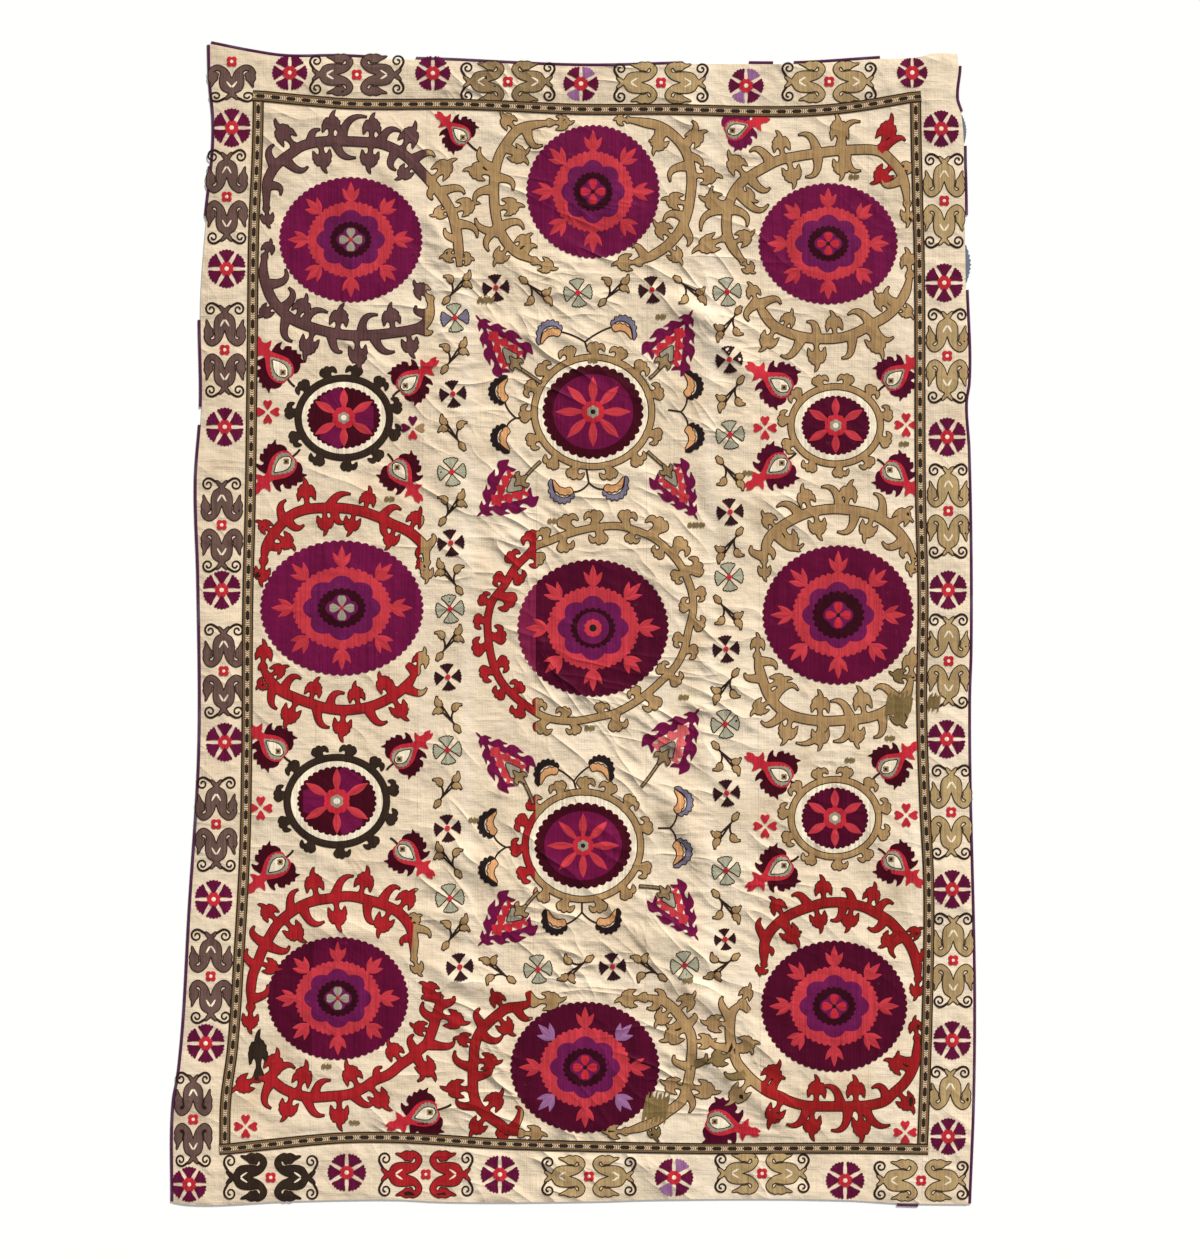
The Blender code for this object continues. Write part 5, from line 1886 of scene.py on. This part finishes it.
@dataclass(frozen=True)
class BraidFinish:
    """Purple edging braid, worn to blue-grey in places, with slanting cords."""
    name: str = "purple_braid"
    dye: tuple = (0.085, 0.016, 0.062)
    worn: tuple = (0.160, 0.130, 0.200)

    def build(self) -> bpy.types.Material:
        """Makes the material on Object coordinates."""
        paint = Paint(self.name, 0.8, 0.1)
        where = paint.place()
        patches = paint.noise(where, (9, 9, 1), 4.0, (0.5, 0.66))
        fine = paint.noise(where, (420, 420, 1), 2.0)
        colour = paint.mix(patches * 0.6, self.dye, self.worn)
        colour = paint.mix(fine * 0.4, colour, (0.02, 0.006, 0.02))
        return paint.finish(colour, None, fine, 0.0006, 0.8)


@dataclass(frozen=True)
class BackingFinish:
    """The blue-grey backing cloth that shows past the edge."""
    name: str = "blue_backing"
    dye: tuple = (0.190, 0.215, 0.270)

    def build(self) -> bpy.types.Material:
        """Makes the material on Object coordinates."""
        paint = Paint(self.name, 0.9, 0.1)
        where = paint.place()
        weave = paint.noise(where, (700, 90, 1), 2.0)
        colour = paint.mix(weave, (0.10, 0.12, 0.16), self.dye)
        return paint.finish(colour, None, weave, 0.0004, 0.6)


GridLine = Union[list, tuple]


def steps_between(first: GridLine, second: GridLine, cells: int) -> list:
    """Grid lines from one line of the cloth up to, not including, the next."""
    return [(first, second, i / cells) for i in range(cells)]


def grid_lines(edge_a: list, join_a: list, inner: list, join_b: list, edge_b: list,
               cells: int, border_cells: int, outer_cells: int) -> tuple:
    """All grid lines one way: edge, border, tape, field with its seams, tape, border, edge. A line
    is a share of the way between two tables, or a table and a fixed distance from it.

    Args:
        edge_a: the outline's table on the first side.
        join_a: the join's table there.
        inner: tables of the seams between.
        join_b: the join's table on the second side.
        edge_b: the outline's table there.
        cells: cells across a loom width.
        border_cells: cells across a border.
        outer_cells: cells across the first and last loom width.

    Returns:
        The lines, and the numbers of those where pieces meet.
    """
    lines = steps_between(edge_a, (join_a, -TAPE_SIDE), border_cells) + [(join_a, -TAPE_SIDE)]
    meets = [0, len(lines)]
    lines.append((join_a, 0.0))
    stops = [(join_a, TAPE_SIDE)] + inner + [(join_b, -TAPE_SIDE)]
    for number, (first, second) in enumerate(zip(stops, stops[1:])):
        ends_here = number in (0, len(stops) - 2)
        if number:
            meets.append(len(lines))
        lines += steps_between(first, second, outer_cells if ends_here else cells)
    lines.append((join_b, -TAPE_SIDE))
    meets.append(len(lines))
    lines.append((join_b, 0.0))
    lines += steps_between((join_b, TAPE_SIDE), edge_b, border_cells)
    meets.append(len(lines))
    lines.append(edge_b)
    return lines, meets


def line_at(line: GridLine, along: np.ndarray) -> np.ndarray:
    """Pixel position of a grid line, read at 'along'."""
    if isinstance(line, list):
        return follow(line, along)
    if len(line) == 2:
        return follow(line[0], along) + line[1] / PIXEL
    first, second, share = line
    return line_at(first, along) * (1 - share) + line_at(second, along) * share


def slab(top: np.ndarray, bottom: np.ndarray) -> tuple:
    """Points and faces of a closed body between two grids of points of the same shape.

    Args:
        top: the upper grid.
        bottom: the lower one.

    Returns:
        Points, then four-cornered faces.
    """
    rows, columns = top.shape[:2]
    number = np.arange(rows * columns).reshape(rows, columns)
    under = number + rows * columns
    a, b, c, d = number[:-1, :-1], number[1:, :-1], number[1:, 1:], number[:-1, 1:]
    upper = np.stack([a, b, c, d], axis=-1).reshape(-1, 4)
    walls = []
    for rim, foot in ((number[:, 0], under[:, 0]), (number[-1], under[-1]),
                      (number[::-1, -1], under[::-1, -1]), (number[0, ::-1], under[0, ::-1])):
        walls.append(np.stack([rim[:-1], foot[:-1], foot[1:], rim[1:]], axis=-1))
    points = np.concatenate([top.reshape(-1, 3), bottom.reshape(-1, 3)])
    return points, np.concatenate([upper, upper[:, ::-1] + rows * columns] + walls)


@dataclass
class Cloth:
    """The seven loom widths and four borders, on one grid of bent lines."""
    drape: Drape
    across: np.ndarray = field(init=False)
    down: np.ndarray = field(init=False)
    columns: list = field(init=False)
    rows: list = field(init=False)

    def __post_init__(self) -> None:
        """Finds every grid crossing by reading rows and columns at each other's places."""
        columns, self.columns = grid_lines(LEFT_EDGE, LEFT_JOIN, LOOM_SEAMS, RIGHT_JOIN, RIGHT_EDGE,
                                           STRIP_CELLS, BORDER_CELLS, OUTER_STRIP_CELLS)
        rows, self.rows = grid_lines(TOP_EDGE, TOP_JOIN, [], BOTTOM_JOIN, BOTTOM_EDGE, FIELD_ROWS,
                                     BORDER_ROWS, FIELD_ROWS)
        self.across = np.full((len(rows), len(columns)), CENTRE_ACROSS)
        self.down = np.full_like(self.across, CENTRE_DOWN)
        for _ in range(CROSSING_PASSES):
            self.across = np.stack([line_at(line, self.down[:, i])
                                    for i, line in enumerate(columns)], axis=1)
            self.down = np.stack([line_at(line, self.across[i])
                                  for i, line in enumerate(rows)], axis=0)

    def build(self, material: bpy.types.Material) -> list:
        """Args:
            material: the cotton.

        Returns:
            The pieces.
        """
        top, upper, lower, bottom = self.rows
        left, first, *seams, last, right = self.columns
        pieces = [
            self._sheet("border_left", (top, bottom), (left, first), (0, 0, 0, 1), material),
            self._sheet("border_right", (top, bottom), (last, right), (0, 1, 0, 0), material),
            self._sheet("border_top", (top, upper), (first, last), (0, 1, 1, 1), material),
            self._sheet("border_bottom", (lower, bottom), (first, last), (1, 1, 0, 1), material)]
        for number, (start, stop) in enumerate(zip([first] + seams, seams + [last]), start=1):
            pieces.append(self._sheet(f"field_strip_{number}", (upper, lower), (start, stop),
                                      (1, 1, 1, 1), material))
        return pieces

    def _sheet(self, node: str, rows: tuple, columns: tuple, gaps: tuple,
               material: bpy.types.Material) -> bpy.types.Object:
        """One piece: a block of the grid, drawn in by half a gap on the sides that meet another.

        Args:
            node: the node that it replaces.
            rows: its first and last grid row.
            columns: its first and last grid column.
            gaps: whether it meets another at its top, left, bottom and right.
            material: the cotton.

        Returns:
            The piece.
        """
        across = self.across[rows[0]:rows[1] + 1, columns[0]:columns[1] + 1].copy()
        down = self.down[rows[0]:rows[1] + 1, columns[0]:columns[1] + 1].copy()
        half_gap = GAP / 2 / PIXEL
        down[0] += half_gap * gaps[0]
        across[:, 0] += half_gap * gaps[1]
        down[-1] -= half_gap * gaps[2]
        across[:, -1] -= half_gap * gaps[3]
        x, y = place(across, down)
        bottom = np.stack([x, y, self.drape.height(x, y)], axis=-1)
        points, faces = slab(bottom + np.array([0, 0, CLOTH_THICK]), bottom)
        thing = Body(points, faces).build(node + "_cloth", material)
        finish_piece(thing, node, "ground_cotton")
        flat = np.diff(x, axis=1).sum(axis=1).mean(), -np.diff(y, axis=0).sum(axis=0).mean()
        return thing

    def lines(self) -> dict:
        """The grid's outer edges and its tape lines, as x and y in metres."""
        top, upper, lower, bottom = self.rows
        left, first, *_, last, right = self.columns
        grid = np.stack(place(self.across, self.down), axis=-1)
        return {"left": grid[:, left], "right": grid[:, right], "top": grid[top],
                "bottom": grid[bottom], "tape_left": grid[upper:lower + 1, first],
                "tape_right": grid[upper:lower + 1, last],
                "tape_top": grid[upper, first:last + 1], "tape_bottom": grid[lower, first:last + 1]}


def finish_piece(thing: bpy.types.Object, node: str, slot: str) -> None:
    """Rides a piece on the body, and hides the imported node that it stands for."""
    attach(thing, "root")
    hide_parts(node)
    LOG.info("%s: %d faces", thing.name, len(thing.data.polygons))


def normals_of(line: np.ndarray) -> np.ndarray:
    """At each point of a flat line the left-hand side direction, long enough to keep an offset
    line's stretches at full distance round a bend."""
    run = np.diff(line, axis=0)
    run = run / np.linalg.norm(run, axis=1)[:, None]
    side = np.stack([-run[:, 1], run[:, 0]], axis=1)
    before = np.concatenate([side[:1], side])
    after = np.concatenate([side, side[-1:]])
    mean = before + after
    return mean / (mean * after).sum(axis=1)[:, None]


@dataclass
class Ribbon:
    """A narrow woven piece between two lines, with rounded shoulders, from a height up."""
    node: str
    slot: str
    low: float
    thick: float
    crown: float = 0.35       # share of the thickness lost at its sides
    parts: int = 6
    rests_on: Sequence[str] = ("floor",)

    def build(self, right: np.ndarray, left: np.ndarray,
              material: bpy.types.Material) -> bpy.types.Object:
        """Makes the ribbon: points between the lines, its face a flattened arch across.

        Args:
            right: the line at its right hand, x and y.
            left: the line at its left hand.
            material: its finish.

        Returns:
            The piece.
        """
        share = np.linspace(0, 1, self.parts + 1)[None, :, None]
        flat = right[:, None] * (1 - share) + left[:, None] * share
        arch = 1 - self.crown * np.abs(2 * share[..., 0] - 1)**4
        z_top = self.low + self.thick * np.broadcast_to(arch, flat.shape[:2])
        top = np.concatenate([flat, z_top[..., None]], axis=-1)
        bottom = np.concatenate([flat, np.full(flat.shape[:2] + (1,), self.low)], axis=-1)
        points, faces = slab(top, bottom)
        middle = (right + left) / 2
        run = np.concatenate([[0], np.cumsum(np.linalg.norm(np.diff(middle, axis=0), axis=1))])
        along = np.broadcast_to(run[:, None], flat.shape[:2])
        across = np.broadcast_to(share[..., 0], flat.shape[:2])
        spot = np.stack([along, across], axis=-1).reshape(-1, 2)
        thing = Body(points, faces, chart=np.concatenate([spot, spot])).build(
            self.node + "_trim", material)
        finish_piece(thing, self.node, self.slot)
        widths = np.linalg.norm(left - right, axis=1)
        flat = max(round(float(widths.max()), 4), 0.01), round(float(run[-1]), 4)
        list(self.rests_on)
        return thing


@dataclass
class Tapes:
    """The four tapes over the joins of field and border."""
    lines: dict

    def build(self, material: bpy.types.Material) -> None:
        """Makes the level tapes, then the upright ones between them.

        Args:
            material: the tape's finish.
        """
        half = TAPE_WIDTH / 2
        low = CLOTH_THICK + GAP
        sides = {}
        for edge in ("top", "bottom"):
            line = self.lines["tape_" + edge].copy()
            line[0, 0] -= half
            line[-1, 0] += half
            side = normals_of(line) * half
            sides[edge] = (line - side, line + side)
            Ribbon("tape_" + edge, "patterned_tape", low, TAPE_THICK,
                   rests_on=(f"border_{edge}_cloth",)).build(
                line - side, line + side, material)
        for edge in ("left", "right"):
            whole = self.lines["tape_" + edge]
            line = np.concatenate([whole[:1], whole[3:-3], whole[-1:]])
            side = normals_of(line) * half
            west, east = line - side, line + side
            for run in (west, east):
                run[0, 1] = np.interp(run[0, 0], *sides["top"][0].T) - 2 * GAP
                run[-1, 1] = np.interp(run[-1, 0], *sides["bottom"][1].T) + 2 * GAP
            Ribbon("tape_" + edge, "patterned_tape", low, TAPE_THICK,
                   rests_on=(f"border_{edge}_cloth",)).build(west, east, material)


class Stretch(NamedTuple):
    """A stretch of the outer edge in pixels, with how far a scrap there sticks out in metres."""
    node: str
    edge: str
    start: float
    end: float
    width: float = BRAID_WIDTH


BRAIDS = [Stretch(*row) for row in (
    ("braid_left_1", "left", 44, 216), ("braid_left_2", "left", 320, 407),
    ("braid_left_3", "left", 425, 1203), ("braid_top_1", "top", 210, 383),
    ("braid_top_2", "top", 416, 683), ("braid_top_3", "top", 749, 773),
    ("braid_top_4", "top", 794, 880), ("braid_right_1", "right", 66, 112),
    ("braid_right_2", "right", 146, 215), ("braid_right_3", "right", 290, 1204),
    ("braid_bottom_1", "bottom", 897, 918))]
SCRAPS = [Stretch("backing_scrap_1", "right", 115, 143, 0.008),
          Stretch("backing_scrap_2", "right", 245, 283, 0.013)]


@dataclass
class Edging:
    """The lengths of braid along the outer edge, and the scraps of backing past it."""
    lines: dict
    OUTWARDS = {"left": -1, "right": 1, "top": 1, "bottom": -1}
    SCRAP_POINTS = 0.8         # for each pixel of its length

    def build(self, braid: bpy.types.Material, backing: bpy.types.Material) -> None:
        """Makes every length and scrap.

        Args:
            braid: the braid's finish.
            backing: the backing's finish.
        """
        for stretch in BRAIDS:
            line, _ = self._part(stretch)
            outside = self.OUTWARDS[stretch.edge]
            side = normals_of(line) * outside
            near, far = line + side * GAP, line + side * (GAP + stretch.width)
            pair = (near, far) if outside > 0 else (far, near)
            Ribbon(stretch.node, "purple_braid", 0.0, BRAID_THICK, 0.6, 4).build(*pair, braid)
        for stretch in SCRAPS:
            line, share = self._part(stretch, self.SCRAP_POINTS)
            ragged = 0.62 + 0.42 * (0.5 + 0.5 * np.sin(share * 47.0 + 9.0 * share**2))[:, None]
            reach = SCRAP_END_WIDTH + (stretch.width - SCRAP_END_WIDTH) * np.sin(
                np.pi * share)[:, None] * ragged
            side = normals_of(line)
            Ribbon(stretch.node, "blue_backing", 0.0, SCRAP_THICK, 0.2, 4).build(
                line + side * GAP, line + side * (GAP + reach), backing)

    def _part(self, stretch: Stretch, steps_per_pixel: float = 0.2) -> tuple:
        """The edge's line along a stretch.

        Args:
            stretch: its row.
            steps_per_pixel: how closely its points lie.

        Returns:
            Points in metres, and how far along the stretch each lies, from 0 to 1.
        """
        line = self.lines[stretch.edge]
        if stretch.edge in ("top", "bottom"):
            along = CENTRE_ACROSS + line[:, 0] / PIXEL
        else:
            along = CENTRE_DOWN - line[:, 1] / PIXEL
        low = max(stretch.start, along[0] + BRAID_END / PIXEL)
        high = min(stretch.end, along[-1] - BRAID_END / PIXEL)
        wanted = np.linspace(low, high, max(7, int((high - low) * steps_per_pixel)))
        points = np.stack([np.interp(wanted, along, line[:, i]) for i in range(2)], axis=1)
        return points, (wanted - low) / (high - low)


@dataclass
class Studio:
    """The floor, the lights and the camera straight above the cloth."""
    view_x: float = 0.0605
    view_y: float = -0.0127
    distance: float = 6.0
    view_height: float = 1259 * PIXEL
    sensor: float = 36.0
    floor_half: float = 6.0
    LAMPS = (("key", (66, 0, 152), 5.15, 8, (1.0, 0.985, 0.955)),
             ("fill", (35, 0, 335), 0.35, 40, (0.95, 0.97, 1.0)))
    SKY = (1.0, 0.99, 0.97, 1)
    SKY_STRENGTH = 0.34

    def build(self) -> None:
        """Makes all of it."""
        self._floor()
        self._lights()
        self._camera()

    def _camera(self) -> None:
        """A camera whose upright view takes in the photograph's height at the cloth."""
        data = bpy.data.cameras.new("camera")
        data.sensor_fit = "VERTICAL"
        data.sensor_height = self.sensor
        data.lens = self.sensor * self.distance / self.view_height
        camera = bpy.data.objects.new("camera", data)
        camera.location = (self.view_x, self.view_y, self.distance)
        bpy.context.scene.collection.objects.link(camera)
        bpy.context.scene.camera = camera

    def _floor(self) -> None:
        """A plain pale square."""
        half = self.floor_half
        points = np.array([[-half, -half, 0], [half, -half, 0], [half, half, 0], [-half, half, 0]])
        paint = Paint("floor_paint", 0.9)
        where = paint.place()
        grain = paint.noise(where, (3, 3, 3), 2.0)
        colour = paint.mix(grain, (0.93, 0.93, 0.925), (0.95, 0.95, 0.945))
        floor = Body(points - [0, 0, 0.0006], np.array([[0, 1, 2, 3]])).build(
            "floor", paint.finish(colour, None, grain, 0.0001, 0.1))

    def _lights(self) -> None:
        """A soft key from the upper right, low enough to show the folds, a weak fill from the other
        side, and an even sky. A lamp's row is its name, turn, strength, size and colour."""
        for name, turn, strength, soft, colour in self.LAMPS:
            data = bpy.data.lights.new(name, "SUN")
            data.energy = strength
            data.angle = math.radians(soft)
            data.color = colour
            lamp = bpy.data.objects.new(name, data)
            lamp.rotation_euler = [math.radians(value) for value in turn]
            bpy.context.scene.collection.objects.link(lamp)
        world = bpy.data.worlds.new("studio")
        world.use_nodes = True
        world.node_tree.nodes["Background"].inputs["Color"].default_value = self.SKY
        world.node_tree.nodes["Background"].inputs["Strength"].default_value = self.SKY_STRENGTH
        bpy.context.scene.world = world
        bpy.context.scene.view_settings.view_transform = "Standard"


def embroider(drape: Drape, material: bpy.types.Material) -> None:
    """Lays all the silk, one piece for each kind of motif.

    Args:
        drape: the cloth that it lies on.
        material: the silk finish.
    """
    kinds = (
        ("silk_large_medallions", LARGE_MEDALLIONS), ("silk_medium_medallions", MEDIUM_MEDALLIONS),
        ("silk_vines", VINES), ("silk_pear_palmettes", PEARS), ("silk_hooked_palmettes", HOOKED),
        ("silk_crescents", CRESCENTS), ("silk_cross_flowers", CROSS_FLOWERS),
        ("silk_sprigs", SPRIGS), ("silk_heart_flowers", HEARTS), ("silk_rosettes", ROSETTES),
        ("silk_border_leaves", LEAF_PAIRS), ("silk_repairs", REPAIRS))
    for name, motifs in kinds:
        silk = Silk(name, drape)
        for motif in motifs:
            motif.stitch(silk)
        silk.build(material)


def main() -> None:
    """Builds the studio and every piece."""
    logging.basicConfig(level=logging.INFO, format="%(message)s")
    Studio().build()
    drape = Drape()
    cloth = Cloth(drape)
    cloth.build(CottonFinish().build())
    lines = cloth.lines()
    Tapes(lines).build(TapeFinish().build())
    Edging(lines).build(BraidFinish().build(), BackingFinish().build())
    embroider(drape, SilkFinish().build())


if __name__ == "__main__":
    main()
